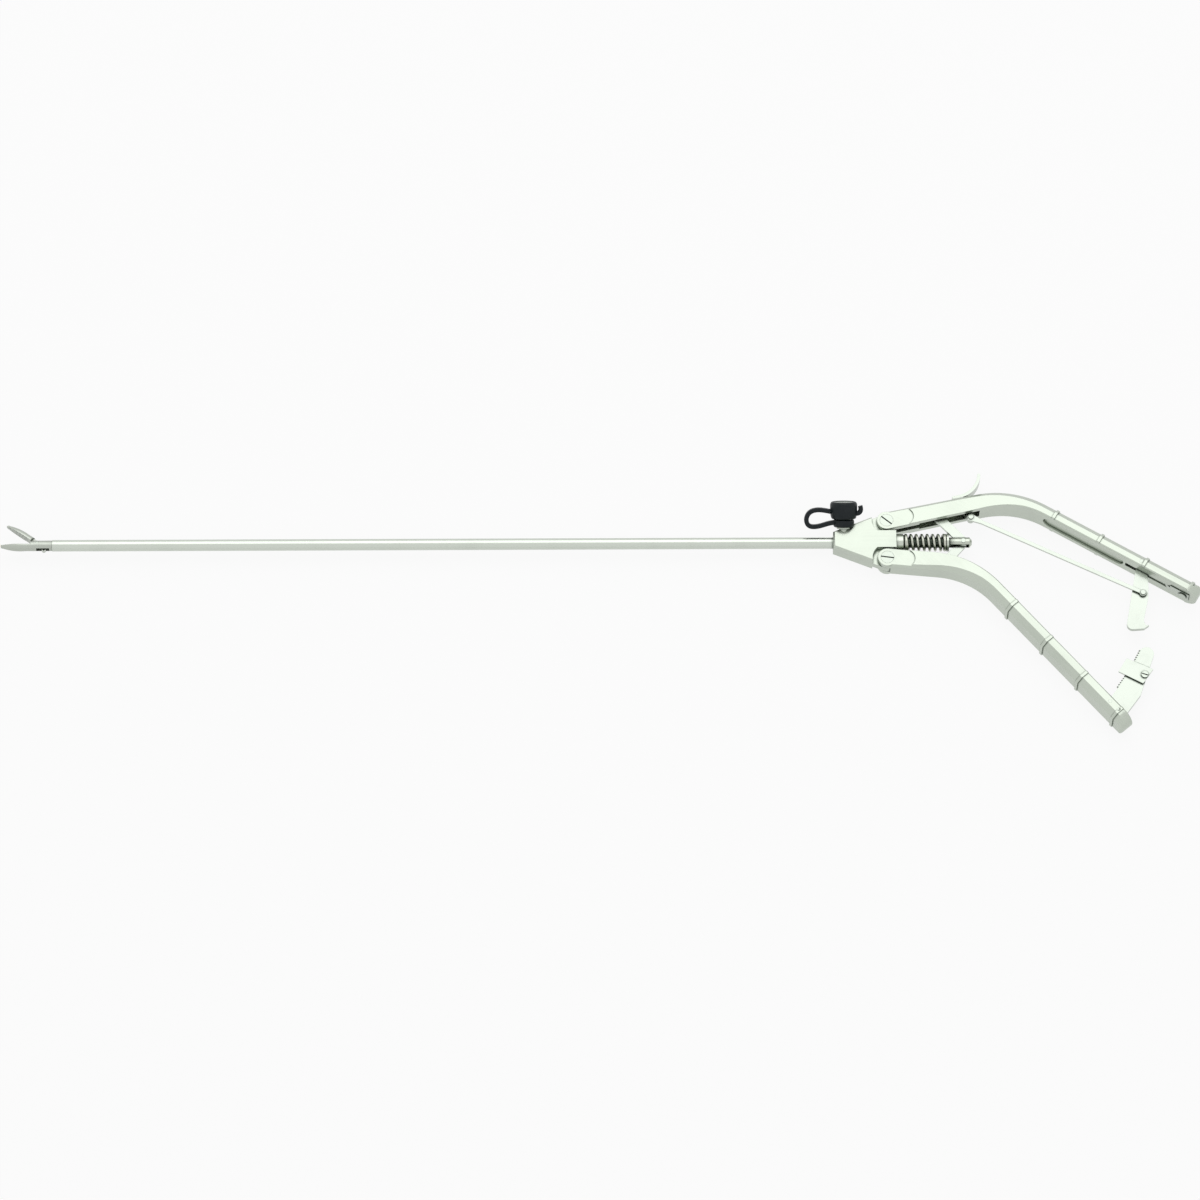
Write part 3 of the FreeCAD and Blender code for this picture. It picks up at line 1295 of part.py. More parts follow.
def make_rack():
    """The ratchet rack: saw teeth whose tips follow the hook's own path as both handles close."""
    first = size("rack_first_tooth")
    step = size("rack_tooth_step")
    clear = size("rack_tooth_clearance")
    root = clear + size("rack_tooth_depth")
    last = first + step * (size("rack_tooth_count") - 1)
    top = first - 1.4 * step
    bottom = last + 1.6 * step
    top_width, base_width = size("rack_top_width"), size("rack_base_width")
    face = -size("lower_tail_thickness") / 2
    foot_floor = face + size("tail_slot_depth") - size("side_gap")
    outline = []
    for number in range(int(size("rack_tooth_count"))):
        swing = first + step * number
        outline += [hook_landing(swing, clear), hook_landing(swing, root)]
    outline += [
        hook_landing(bottom, root),
        LOWER.tail(size("rack_foot_start"), face - 1.2),
        LOWER.tail(size("rack_foot_start"), foot_floor),
        LOWER.tail(size("rack_foot_end"), foot_floor),
        LOWER.tail(size("rack_foot_end"), face - 0.6),
        hook_landing(bottom - 0.8, base_width),
        hook_landing(top + 0.5, top_width),
        (hook_landing(top - 0.25, top_width * 0.55), hook_landing(top + 0.4 * step, root)),
    ]
    holes = [(place, "rack_rivet_radius") for place in rack_rivets()]
    middle_swing = (size("guide_first_swing") + size("guide_last_swing")) / 2
    screw_place = hook_landing(middle_swing, size("guide_screw_back"))
    holes.append((screw_place, "guide_shank_radius"))
    keep(plate("rack_form", outline, "rack_thickness", holes), "ratchet_rack")
    pair = [
        cross_pin(f"rack_rivet_form_{number}", place, "rack_rivet_radius", "handle_depth")
        for number, place in enumerate(rack_rivets())
    ]
    keep(fuse("rack_rivet_pair", pair), "rack_rivets")

    # The guide stands over the middle teeth and keeps the pawl from leaving the rack sideways.
    begin, stop = size("guide_first_swing"), size("guide_last_swing")
    reach, back = size("guide_reach"), size("guide_back")
    guide = plate(
        "guide_form",
        [
            hook_landing(begin, back),
            hook_landing(begin, -reach),
            hook_landing(stop, -reach),
            hook_landing(stop, back - 0.6),
        ],
        "guide_thickness",
        [(screw_place, "guide_shank_radius")],
        level="rack_thickness / 2",
    )
    keep(guide, "rack_guide")
    face = size("rack_thickness") / 2 + size("guide_thickness")
    shank_base = screw_place - UP * (size("rack_thickness") / 2)
    shank = cylinder("guide_shank", "guide_shank_radius", "rack_thickness + guide_thickness", shank_base)
    head = cylinder("guide_head", "guide_screw_radius", "guide_head_height", screw_place + UP * face)
    slot_middle = screw_place + UP * (face + size("guide_head_height"))
    slot = block(
        "guide_driver_slot", slot_middle, "guide_screw_radius * 3", "0.5", "guide_head_height", -20.0
    )
    keep(cut("guide_screw_cut", fuse("guide_screw_form", [shank, head]), [slot]), "guide_screw")


def make_flush_port():
    """The flushing port in the housing's nose, and the rubber cap that hangs on it by a strap."""
    at_port = Placement(Vector(size("port_place"), 0, 0), Rotation(ALONG, size("port_cant")))
    along_port = Placement(port_point("0"), Rotation(ALONG, PORT_AXIS))
    port = spun(
        "flush_port_form",
        [
            ("port_stem_start", "port_bore"),
            ("port_top", "port_bore"),
            ("port_top", "port_mouth_radius"),
            ("port_neck_top", "port_mouth_radius + 0.2"),
            ("port_neck_top", "port_neck_radius"),
            ("port_collar_top", "port_neck_radius"),
            ("port_collar_top", "port_collar_radius"),
            ("port_seat", "port_collar_radius"),
            ("port_seat", "port_stem_radius"),
            ("port_stem_start", "port_stem_radius"),
        ],
    )
    port.Placement = along_port
    keep(port, "flush_port")

    cap_body = spun(
        "cap_form",
        [
            ("cap_seat", "port_mouth_radius + soft_gap + 0.2"),
            ("port_top + soft_gap", "port_mouth_radius + soft_gap + 0.2"),
            ("port_top + soft_gap", "0"),
            ("cap_top", "0"),
            ("cap_top", "cap_radius - cap_edge"),
            ("cap_top - cap_edge", "cap_radius"),
            ("cap_seat + cap_edge / 2", "cap_radius"),
            ("cap_seat", "cap_radius - 0.3"),
        ],
    )
    # The finger tab stands on the side away from the shaft, in the port's own frame.
    seat, tab = size("cap_seat"), size("tab_reach")
    radius = size("cap_radius")
    tab_form = plate(
        "cap_tab_form",
        [
            Vector(seat + 0.3, -radius + 0.8, 0),
            Vector(seat + 0.3, -tab + 1.6, 0),
            (Vector(seat + 1.5, -tab, 0), Vector(seat + 3.4, -tab + 0.5, 0)),
            Vector(seat + 3.9, -radius - 0.5, 0),
            Vector(seat + 3.4, -radius + 0.8, 0),
        ],
        "tab_thickness",
    )
    cap = fuse("cap_whole", [cap_body, tab_form])
    # The cap's length runs along X in its own frame, so its tab's side is turned towards the handles.
    frame_turn = Rotation(PORT_AXIS, -ALONG, PORT_AXIS.cross(-ALONG), "XYZ")
    cap.Placement = Placement(port_point("0"), frame_turn)
    keep(cap, "port_cap")

    half = size("strap_thickness") / 2
    low, high = size("ring_seat") + half, size("strap_upper_place") + half
    loop = size("strap_loop_radius")
    bend = loop + half - size("strap_reach")
    middle = (low + high) / 2 - size("strap_sag")
    cap_side = -radius - size("soft_gap")
    strap = plate(
        "strap_form",
        [
            Vector(cap_side, high + half, 0),
            Vector(bend, middle + loop + half, 0),
            (Vector(bend - loop - half, middle, 0), Vector(bend, middle - loop - half, 0)),
            Vector(0, low - half, 0),
            Vector(0, low + half, 0),
            Vector(bend, middle - loop + half, 0),
            (Vector(bend - loop + half, middle, 0), Vector(bend, middle + loop - half, 0)),
            Vector(cap_side, high - half, 0),
        ],
        "strap_width",
    )
    ring = cylinder("strap_ring", "ring_radius", "strap_thickness", Vector(0, low - half, 0), Vector(0, 1, 0))
    neck = cylinder(
        "strap_ring_way", "port_neck_radius + running_gap", "strap_thickness * 3", Vector(0, low - 3 * half, 0), Vector(0, 1, 0)
    )
    tied = cut("strap_cut", fuse("strap_whole", [strap, ring]), [neck])
    tied.Placement = at_port
    keep(tied, "cap_strap")


make_housing()
make_shaft()
make_pivot_screws()
make_jaws()
make_pull_rod()
make_links()
make_spring()
make_upper_handle()
make_lower_handle()
make_release_lever()
make_release_rod()
make_pawl()
make_rack()
make_flush_port()
doc.recompute()

# Nothing is written unless every object is sound.
for item in doc.Objects:
    if {"Invalid", "Error"} & set(item.State):
        raise SystemExit(f"{item.Label} is not sound: {item.State}")
for label, node in nodes.items():
    if node.Shape.isNull() or not node.Shape.isValid():
        raise SystemExit(f"{label} has no valid shape")
os.makedirs("parts", exist_ok=True)
for label, node in nodes.items():
    node.Shape.exportStep(f"parts/{label}.step")
    solids = len(node.Shape.Solids)
    print(f"{label}: {solids} solid{'s' if solids > 1 else ''}, {node.Shape.Volume:.1f} mm3")
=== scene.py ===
# %% [markdown]
# # A laparoscopic needle holder
#
# A needle holder for keyhole surgery is a long steel tube with a small jaw at one end and two sprung handles
# at the other. Nearly all of it is satin stainless steel, so this lesson is mostly about steel: how brushed,
# turned and drawn steel differ, and how light shows it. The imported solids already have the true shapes, so
# they stay, and each one gets a finish here. Three pieces are made again: the coil spring, because its wire
# has to be smooth and round when it is seen close up, and the rubber cap and strap, because moulded rubber
# has soft rims and bends that a hard solid doesn't show.

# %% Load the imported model
import math
import bmesh
import bpy
from mathutils import Matrix, Vector


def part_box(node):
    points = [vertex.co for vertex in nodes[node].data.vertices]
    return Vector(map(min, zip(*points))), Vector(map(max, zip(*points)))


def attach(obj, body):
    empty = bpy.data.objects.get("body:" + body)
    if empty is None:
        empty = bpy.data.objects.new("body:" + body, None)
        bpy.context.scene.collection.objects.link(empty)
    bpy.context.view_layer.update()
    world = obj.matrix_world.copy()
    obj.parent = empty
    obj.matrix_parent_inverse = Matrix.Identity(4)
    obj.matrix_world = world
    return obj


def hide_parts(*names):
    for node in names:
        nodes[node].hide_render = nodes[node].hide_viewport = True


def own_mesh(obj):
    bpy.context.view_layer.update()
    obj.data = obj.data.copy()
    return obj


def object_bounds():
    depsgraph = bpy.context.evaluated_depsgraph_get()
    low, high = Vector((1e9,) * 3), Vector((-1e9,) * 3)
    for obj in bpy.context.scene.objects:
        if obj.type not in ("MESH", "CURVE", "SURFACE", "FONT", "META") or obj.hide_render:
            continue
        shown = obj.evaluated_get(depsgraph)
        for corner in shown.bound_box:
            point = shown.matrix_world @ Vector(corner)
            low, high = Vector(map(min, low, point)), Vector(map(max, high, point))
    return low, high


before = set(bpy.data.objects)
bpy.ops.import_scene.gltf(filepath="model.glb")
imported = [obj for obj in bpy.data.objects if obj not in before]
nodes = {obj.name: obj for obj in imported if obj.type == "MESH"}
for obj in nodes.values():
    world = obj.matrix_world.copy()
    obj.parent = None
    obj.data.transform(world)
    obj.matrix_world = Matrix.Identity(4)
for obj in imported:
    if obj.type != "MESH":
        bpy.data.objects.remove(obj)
solid_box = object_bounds()

# %% [markdown]
# ## Node maths that reads like maths
#
# A finish is a graph of nodes. Written node by node it is hard to follow, so one small class wraps a socket
# and turns +, - and * into Math nodes. A second class holds a node tree and adds any other node in one
# line. Both work in a material and in a geometry tree, because the Math node is the same in both.

# %% A socket that can be added and multiplied
class Signal:
    """A node's output that can be used in a Python expression."""

    def __init__(self, tree, socket):
        self.tree = tree
        self.socket = socket

    def math(self, operation, first, second=0.0):
        node = self.tree.nodes.new("ShaderNodeMath")
        node.operation = operation
        for place, term in enumerate((first, second)):
            if isinstance(term, Signal):
                self.tree.links.new(term.socket, node.inputs[place])
            else:
                node.inputs[place].default_value = term
        return Signal(self.tree, node.outputs[0])

    def __add__(self, other):
        return self.math("ADD", self, other)

    def __radd__(self, other):
        return self.math("ADD", other, self)

    def __sub__(self, other):
        return self.math("SUBTRACT", self, other)

    def __rsub__(self, other):
        return self.math("SUBTRACT", other, self)

    def __mul__(self, other):
        return self.math("MULTIPLY", self, other)

    def __rmul__(self, other):
        return self.math("MULTIPLY", other, self)

    def sine(self):
        return self.math("SINE", self)

    def cosine(self):
        return self.math("COSINE", self)

    def most(self, other):
        return self.math("MAXIMUM", self, other)


class Tree:
    """A node tree with one method for adding any node."""

    def __init__(self, tree):
        self.tree = tree

    def add(self, kind, settings=None, out=0, **sockets):
        """Adds a node: its settings first, then the values or links of its sockets."""
        node = self.tree.nodes.new(kind)
        for name, choice in (settings or {}).items():
            setattr(node, name, choice)
        for name, term in sockets.items():
            socket = self.find(node.inputs, name)
            if isinstance(term, Signal):
                self.tree.links.new(term.socket, socket)
            else:
                socket.default_value = term
        return Signal(self.tree, self.find(node.outputs, out) if isinstance(out, str) else node.outputs[out])

    def find(self, sockets, name):
        """A socket by its label in small letters, with a number after it where two share a label."""
        word, _, number = name.rpartition("__")
        label = (word or name).replace("_", " ").lower()
        same = [socket for socket in sockets if socket.name.lower() == label and socket.enabled]
        return same[int(number) if word else 0]


# %% [markdown]
# ## Steel, and what marks it
#
# Bare steel has no colour of its own to paint. What the eye reads is how rough it is and which way the
# polishing lines run. Three things vary over each part here: fine lines along the way it was brushed, a slow
# cloudiness from handling and washing, and painted shade where two faces meet: an occlusion node darkens the
# colour there, and the steel is rougher there too, because polish never reaches it.
# The lines are noise that is stretched about forty times along one axis, so a Mapping node only has to turn
# them to lie along a bent handle. A Bevel node rounds every edge a little, and the edges are polished more.

# %% A finish for each kind of steel
def new_tree(name):
    """An empty material, with its tree wrapped."""
    material = bpy.data.materials.new(name)
    material.use_nodes = True
    material.node_tree.nodes.clear()
    return material, Tree(material.node_tree)


def surface(material, tree, **sockets):
    """Ends a material in one Principled shader."""
    shader = tree.add("ShaderNodeBsdfPrincipled", out="BSDF", **sockets)
    output = material.node_tree.nodes.new("ShaderNodeOutputMaterial")
    material.node_tree.links.new(shader.socket, output.inputs["Surface"])
    return material


def steel(name, colour, shade, roughness=0.3, turn=0.0, stretch=(25, 1100, 1100), line_depth=0.05,
          cloud=0.05, painted_shade_reach=0.0014, painted_shade_cutoff=0.35, edge=0.00016):
    """Brushed or turned steel: lines along one way, a slow cloud, painted shade in corners and bright edges.
    """
    material, tree = new_tree(name)
    place = tree.add("ShaderNodeTexCoord", out="Object")
    turned = tree.add("ShaderNodeMapping", vector=place, rotation=(0, 0, math.radians(turn)))
    laid = tree.add("ShaderNodeMapping", vector=turned, scale=stretch)
    streaks = tree.add("ShaderNodeTexNoise", vector=laid, scale=1.0, detail=4.0, roughness=0.6)
    scratches = tree.add("ShaderNodeTexNoise", vector=laid, scale=5.5, detail=3.0, roughness=0.7)
    slow = tree.add("ShaderNodeTexNoise", vector=place, scale=60.0, detail=3.0, roughness=0.55)
    # An occlusion node paints shade into corners, slots and gaps between parts: there the colour goes to the
    # shade colour.
    corner = tree.add("ShaderNodeAmbientOcclusion", {"samples": 6, "only_local": False}, distance=painted_shade_reach,
                      out="AO")
    out_of_shade = tree.add("ShaderNodeMapRange", value=corner, from_min=painted_shade_cutoff, from_max=0.95)
    rounded = tree.add("ShaderNodeBevel", {"samples": 4}, radius=edge, out="Normal")
    flat = tree.add("ShaderNodeNewGeometry", out="Normal")
    along_face = tree.add("ShaderNodeVectorMath", {"operation": "DOT_PRODUCT"}, vector__0=rounded,
                          vector__1=flat, out="Value")
    rubbed = tree.add("ShaderNodeMapRange", value=1 - along_face, from_min=0.01, from_max=0.2)
    # Painted shade from the occlusion factor, times the steel's own slow cloud and streaks.
    shade_and_grain = out_of_shade * (1 - (slow - 0.5) * cloud * 4 - (streaks - 0.5) * line_depth * 3)
    tint = tree.add("ShaderNodeMix", {"data_type": "RGBA"}, factor__0=shade_and_grain, a__0=(*shade, 1),
                    b__0=(*colour, 1), out="Result")
    polish = (roughness + (scratches - 0.5) * line_depth * 2 + (slow - 0.5) * cloud * 2
              + (1 - out_of_shade) * 0.15 - rubbed * 0.08)
    grain = tree.add("ShaderNodeBump", strength=line_depth * 2, distance=0.00002, height=scratches + streaks,
                     normal=rounded)
    return surface(material, tree, base_color=tint, metallic=1.0, roughness=polish, normal=grain)


PALE = (0.503, 0.548, 0.479)
PAINTED_SHADE = (0.04, 0.06, 0.04)
LATHE_LINES = (2600, 60, 60)
FINE_EDGE = 0.00008
UPPER_TAIL_ANGLE = 31.3
LOWER_TAIL_ANGLE = 49.8
# Each finish sets how far its painted shade reaches into corners and how dark it gets there.
body_steel = steel("Body_Steel", PALE, PAINTED_SHADE, painted_shade_reach=0.001)
upper_steel = steel("Upper_Handle_Steel", PALE, PAINTED_SHADE, turn=UPPER_TAIL_ANGLE, painted_shade_reach=0.0008)
lower_steel = steel("Lower_Handle_Steel", PALE, PAINTED_SHADE, turn=LOWER_TAIL_ANGLE, painted_shade_reach=0.0008)
# The rod under the spring is a darker copy of the tube's steel whose long occlusion reach paints the shade
# that the coils cast on it.
shaded_rod_steel = steel("Rod_Steel", (0.50, 0.54, 0.47), (0.02, 0.03, 0.02), roughness=0.2,
                  stretch=LATHE_LINES, painted_shade_reach=0.0032, painted_shade_cutoff=0.7)
tube_steel = steel("Tube_Steel", (0.58, 0.62, 0.56), PAINTED_SHADE, roughness=0.24, stretch=LATHE_LINES,
                   line_depth=0.04)
turned_steel = steel("Turned_Steel", (0.55, 0.59, 0.52), PAINTED_SHADE, roughness=0.22, stretch=(3000, 80, 80))
# The pins' near-black shade colour paints the screw slots black as shade.
pin_steel = steel("Pin_Steel", (0.48, 0.525, 0.465), (0.01, 0.015, 0.01), roughness=0.2,
                  stretch=(900, 900, 900), painted_shade_reach=0.0009, painted_shade_cutoff=0.6, edge=FINE_EDGE)
small_steel = steel("Small_Part_Steel", (0.50, 0.54, 0.485), PAINTED_SHADE, roughness=0.26,
                    stretch=(500, 500, 60), painted_shade_reach=0.001, painted_shade_cutoff=0.6, edge=FINE_EDGE)
jaw_steel = steel("Jaw_Steel", (0.46, 0.49, 0.44), (0.06, 0.07, 0.06), roughness=0.34,
                  stretch=(300, 900, 900), cloud=0.12, painted_shade_reach=0.0007)
# The wire's occlusion paints shade between neighbouring turns of the spring.
wire_steel = steel("Wire_Steel", (0.50, 0.52, 0.45), (0.03, 0.035, 0.03), roughness=0.2,
                   stretch=(300, 300, 300), painted_shade_reach=0.0016)
print("steel finishes:", [material.name for material in bpy.data.materials if "Steel" in material.name])

# %% [markdown]
# ## Moulded rubber
#
# The cap on the flush port and its strap are black silicone rubber from one mould. Its surface is a fine
# eggshell with a trace of dust, so the noise is small and even in all directions. The cap's flat top disc is
# paler and shinier: its pale colour is a painted reflection of the bright surroundings at a grazing angle, as
# the rubber is black there too. The hidden seal ring is duller.

# %% Rubber and the seal
def rubber(name, colour, roughness, shine=0.25):
    """Moulded rubber with an eggshell grain and faint dust."""
    material, tree = new_tree(name)
    place = tree.add("ShaderNodeTexCoord", out="Object")
    grain = tree.add("ShaderNodeTexNoise", vector=place, scale=2600.0, detail=2.0)
    dust = tree.add("ShaderNodeTexNoise", vector=place, scale=260.0, detail=4.0, roughness=0.7)
    faded = tree.add("ShaderNodeMapRange", value=dust, from_min=0.45, from_max=0.8)
    tint = tree.add("ShaderNodeMix", {"data_type": "RGBA"}, factor__0=faded, a__0=(*colour, 1),
                    b__0=(0.016, 0.021, 0.023, 1), out="Result")
    skin = tree.add("ShaderNodeBump", strength=0.25, distance=0.00003, height=grain)
    return surface(material, tree, base_color=tint, roughness=roughness + (dust - 0.5) * 0.2, normal=skin,
                   specular_ior_level=shine)


cap_rubber = rubber("Cap_Rubber", (0.004, 0.008, 0.010), 0.42)
seal_rubber = rubber("Seal_Rubber", (0.02, 0.02, 0.02), 0.5)
# A paler rubber for the cap's top disc: a painted reflection of the white surroundings on black rubber.
disc_reflection_rubber = rubber("Cap_Disc_Rubber", (0.16, 0.20, 0.155), 0.3, shine=0.5)
print("rubber finishes:", cap_rubber.name, seal_rubber.name, disc_reflection_rubber.name)

# %% [markdown]
# ## Dress the solids
#
# Each solid node keeps its mesh and gets the finish of its real part. The tables below say which is which:
# the two handles have lines that follow their own tails, and everything that was made on a lathe has its
# lines round it.

# %% Give each solid its finish
finishes = {
    body_steel: ["housing_block"],
    upper_steel: ["upper_handle"],
    lower_steel: ["lower_handle"],
    tube_steel: ["shaft_tube", "pull_rod"],
    shaded_rod_steel: ["rod_end"],
    turned_steel: ["gland_nut", "flush_port", "spring_washer"],
    pin_steel: ["jaw_pivot_pin", "jaw_drive_pin", "rod_cross_pin", "upper_link_pin", "lower_link_pin",
                "lever_pin", "pawl_pin", "lever_rivet", "pawl_rivet", "rack_rivets", "upper_pivot_screw",
                "lower_pivot_screw", "guide_screw", "pawl_spring_screw"],
    small_steel: ["upper_link", "lower_link", "release_lever", "release_rod", "pawl_plate", "pawl_spring",
                  "ratchet_rack", "rack_guide"],
    jaw_steel: ["fixed_jaw", "moving_jaw"],
    cap_rubber: ["port_cap", "cap_strap"],
    seal_rubber: ["rod_seal_ring"],
}
for finish, names in finishes.items():
    for name in names:
        for slot in nodes[name].material_slots:
            slot.material = finish
print("dressed", sum(len(names) for names in finishes.values()), "solids")

# %% [markdown]
# ## The return spring
#
# The spring sits on the rod between the gland nut and a washer, and pushes the handles apart. A real
# compression spring has a wide pitch in the middle and closed turns at both ends, so a plain helix looks
# wrong. Geometry Nodes can place each point of the wire from its share of the length: the turn is that share
# times the number of turns, and the distance along the rod rises slowly at both ends and faster between them.

# %% A tree that winds wire round a rod
WIRE_POINTS = 430
CLOSED_SHARE = 0.13
CLOSED_PITCH = 0.12


def spring_tree(name, material):
    """Winds a wire whose pitch closes up at both ends, with its sizes as named inputs."""
    tree = bpy.data.node_groups.new(name, "GeometryNodeTree")
    sizes = (("Turns", 7.5), ("Coil Radius", 0.0033), ("Wire Radius", 0.0006), ("Start", 0.031),
             ("Length", 0.018))
    for label, usual in sizes:
        given = tree.interface.new_socket(label, in_out="INPUT", socket_type="NodeSocketFloat")
        given.default_value = usual
    tree.interface.new_socket("Geometry", in_out="OUTPUT", socket_type="NodeSocketGeometry")
    build = Tree(tree)
    entry = tree.nodes.new("NodeGroupInput")
    turns, coil, wire, start, length = (Signal(tree, entry.outputs[label]) for label, _ in sizes)
    line = build.add("GeometryNodeCurvePrimitiveLine", out="Curve")
    fine = build.add("GeometryNodeResampleCurve", curve=line, count=WIRE_POINTS)
    share = build.add("GeometryNodeSplineParameter", out="Factor")
    angle = share * turns * math.tau
    end_room = wire * 2
    middle = build.add("ShaderNodeMapRange", value=share, from_min=CLOSED_SHARE, from_max=1 - CLOSED_SHARE)
    along = start + wire + (length - end_room) * (CLOSED_PITCH * share + (1 - CLOSED_PITCH) * middle)
    spot = build.add("ShaderNodeCombineXYZ", x=along, y=angle.cosine() * coil, z=angle.sine() * coil)
    wound = build.add("GeometryNodeSetPosition", geometry=fine, position=spot)
    section = build.add("GeometryNodeCurvePrimitiveCircle", resolution=14, radius=wire)
    tube = build.add("GeometryNodeCurveToMesh", curve=wound, profile_curve=section, fill_caps=True)
    real = build.add("GeometryNodeRealizeInstances", geometry=tube)
    dressed = build.add("GeometryNodeSetMaterial", geometry=real, material=material)
    output = tree.nodes.new("NodeGroupOutput")
    tree.links.new(dressed.socket, output.inputs[0])
    return tree


def baked(name, tree, **sizes):
    """Runs a geometry tree on an empty mesh with the given sizes, and returns the result as a plain mesh."""
    holder = bpy.data.objects.new(name + "_holder", bpy.data.meshes.new(name + "_holder"))
    bpy.context.collection.objects.link(holder)
    modifier = holder.modifiers.new("Build", "NODES")
    modifier.node_group = tree
    for item in tree.interface.items_tree:
        word = item.name.lower().replace(" ", "_")
        if item.in_out == "INPUT" and word in sizes:
            modifier[item.identifier] = sizes[word]
    bpy.context.view_layer.update()
    ready = holder.evaluated_get(bpy.context.evaluated_depsgraph_get())
    mesh = bpy.data.meshes.new_from_object(ready)
    mesh.name = name
    bpy.data.objects.remove(holder)
    piece = bpy.data.objects.new(name, mesh)
    bpy.context.collection.objects.link(piece)
    for face in mesh.polygons:
        face.use_smooth = True
    return piece


# %% [markdown]
# ### The spring in its place
#
# The box of the imported spring says where the wire starts and how long the spring is.

# %% Wind the spring between the gland nut and its washer
low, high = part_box("return_spring")
spring = baked("Return_Spring_Wire", spring_tree("Wound Wire", wire_steel), turns=9.5, coil_radius=0.0033,
               wire_radius=0.0006, start=low[0], length=high[0] - low[0])
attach(spring, "instrument_body")
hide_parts("return_spring")
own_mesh(spring)
print("spring wire:", len(spring.data.polygons), "faces,", round((high[0] - low[0]) * 1000, 1), "mm long")

# %% [markdown]
# ## The cap and its strap
#
# The cap and strap come out of one rubber mould. The cap is a round plug with a soft rim, the strap is a flat
# band that bulges into a drop-shaped loop, and the ring grips the neck of the port. The round parts are
# turned from a profile and the bands are swept along a curve, and both are made upright, with the port along
# Y, and then tilted to the port's own angle in the mesh.

# %% Turn a profile, and sweep a band
MM = 0.001
PORT_FOOT = Vector((0.0046, 0, 0))
PORT_TILT = math.radians(32.0)


def tilted(name, mesh, finish):
    """Puts a mesh that was made along Y at the flush port's place and angle, as a smooth piece."""
    mesh.transform(Matrix.Translation(PORT_FOOT) @ Matrix.Rotation(PORT_TILT, 4, "X"))
    mesh.materials.clear()
    mesh.materials.append(finish)
    for face in mesh.polygons:
        face.use_smooth = True
    piece = bpy.data.objects.new(name, mesh)
    bpy.context.collection.objects.link(piece)
    return piece


def turned_rubber(name, profile, steps=56):
    """Spins points of radius and height, in millimetres, about Y; a radius of 0 closes the form."""
    form = bmesh.new()
    rings = []
    for radius, height in profile:
        if radius == 0:
            rings.append([form.verts.new((0, height * MM, 0))])
            continue
        angles = [math.tau * step / steps for step in range(steps)]
        rings.append([
            form.verts.new((radius * math.cos(angle) * MM, height * MM, radius * math.sin(angle) * MM))
            for angle in angles
        ])
    for inner, outer in zip(rings, rings[1:] + rings[:1]):
        for step in range(steps):
            after = (step + 1) % steps
            round_face = (inner[step % len(inner)], inner[after % len(inner)],
                          outer[after % len(outer)], outer[step % len(outer)])
            corners = list(dict.fromkeys(round_face))
            if len(corners) > 2:
                form.faces.new(corners)
    bmesh.ops.recalc_face_normals(form, faces=form.faces)
    mesh = bpy.data.meshes.new(name)
    form.to_mesh(mesh)
    form.free()
    return mesh


def rounded_section(width, thickness):
    """A closed curve, flat on both sides and round at its ends, for the bevel of a band."""
    data = bpy.data.curves.new("Band_Section", "CURVE")
    spline = data.splines.new("NURBS")
    half = width / 2
    edge = thickness / 2
    corners = [(edge, -half), (edge, 0), (edge, half), (0, half),
               (-edge, half), (-edge, 0), (-edge, -half), (0, -half)]
    spline.points.add(len(corners) - 1)
    for point, (x, y) in zip(spline.points, corners):
        point.co = (x * MM, y * MM, 0, 1)
    spline.order_u = 3
    spline.use_cyclic_u = True
    data.resolution_u = 4
    section = bpy.data.objects.new("Band_Section", data)
    bpy.context.collection.objects.link(section)
    return section


def band(name, route, width, thickness):
    """Sweeps a rounded band along a smooth route in the XY plane, in millimetres, as a mesh."""
    data = bpy.data.curves.new(name, "CURVE")
    data.dimensions = "3D"
    data.twist_mode = "Z_UP"
    spline = data.splines.new("NURBS")
    spline.points.add(len(route) - 1)
    for point, (x, y) in zip(spline.points, route):
        point.co = (x * MM, y * MM, 0, 1)
    spline.order_u = 4
    spline.use_endpoint_u = True
    data.resolution_u = 10
    section = rounded_section(width, thickness)
    data.bevel_mode = "OBJECT"
    data.bevel_object = section
    data.use_fill_caps = True
    line = bpy.data.objects.new(name, data)
    bpy.context.collection.objects.link(line)
    bpy.context.view_layer.update()
    mesh = bpy.data.meshes.new_from_object(line.evaluated_get(bpy.context.evaluated_depsgraph_get()))
    for used in (line, section):
        bpy.data.objects.remove(used)
    return mesh


def joined(name, meshes):
    """One mesh from several that touch or cross."""
    form = bmesh.new()
    for mesh in meshes:
        form.from_mesh(mesh)
    bmesh.ops.remove_doubles(form, verts=form.verts, dist=0.005 * MM)
    bmesh.ops.recalc_face_normals(form, faces=form.faces)
    whole = bpy.data.meshes.new(name)
    form.to_mesh(whole)
    form.free()
    return whole


# %% [markdown]
# ### The cap
#
# The profile runs from the middle of the top disc over the soft rim, down the side, and back up inside the
# plug's bore. The finger tab is a short thick band that curls up beside it. The top disc is smoother than the
# rest, so its faces get a finish of their own, whose pale colour is a painted reflection on the black rubber.

# %% Mould the cap with its finger tab
DISC_HEIGHT = 17.75 * MM
DISC_REACH = 18.2 * MM
cap_profile = [(0, 17.75), (4.3, 17.75), (4.7, 17.85), (5.0, 18.05), (5.35, 17.95), (5.62, 17.6), (5.8, 17.2),
               (5.9, 16.7), (5.9, 14.2), (5.75, 12.4), (5.5, 11.3), (5.2, 10.75), (4.9, 10.62), (2.65, 10.62),
               (2.62, 17.25), (0, 17.3)]
tab_route = [(4.2, 12.9), (6.1, 12.8), (7.3, 13.5), (7.6, 14.8), (7.2, 16.2)]
tab = band("Cap_Tab", tab_route, width=3.6, thickness=2.0)
plug = turned_rubber("Cap_Plug", cap_profile)
cap = tilted("Rubber_Cap", joined("Rubber_Cap", [plug, tab]), cap_rubber)
cap.data.materials.append(disc_reflection_rubber)
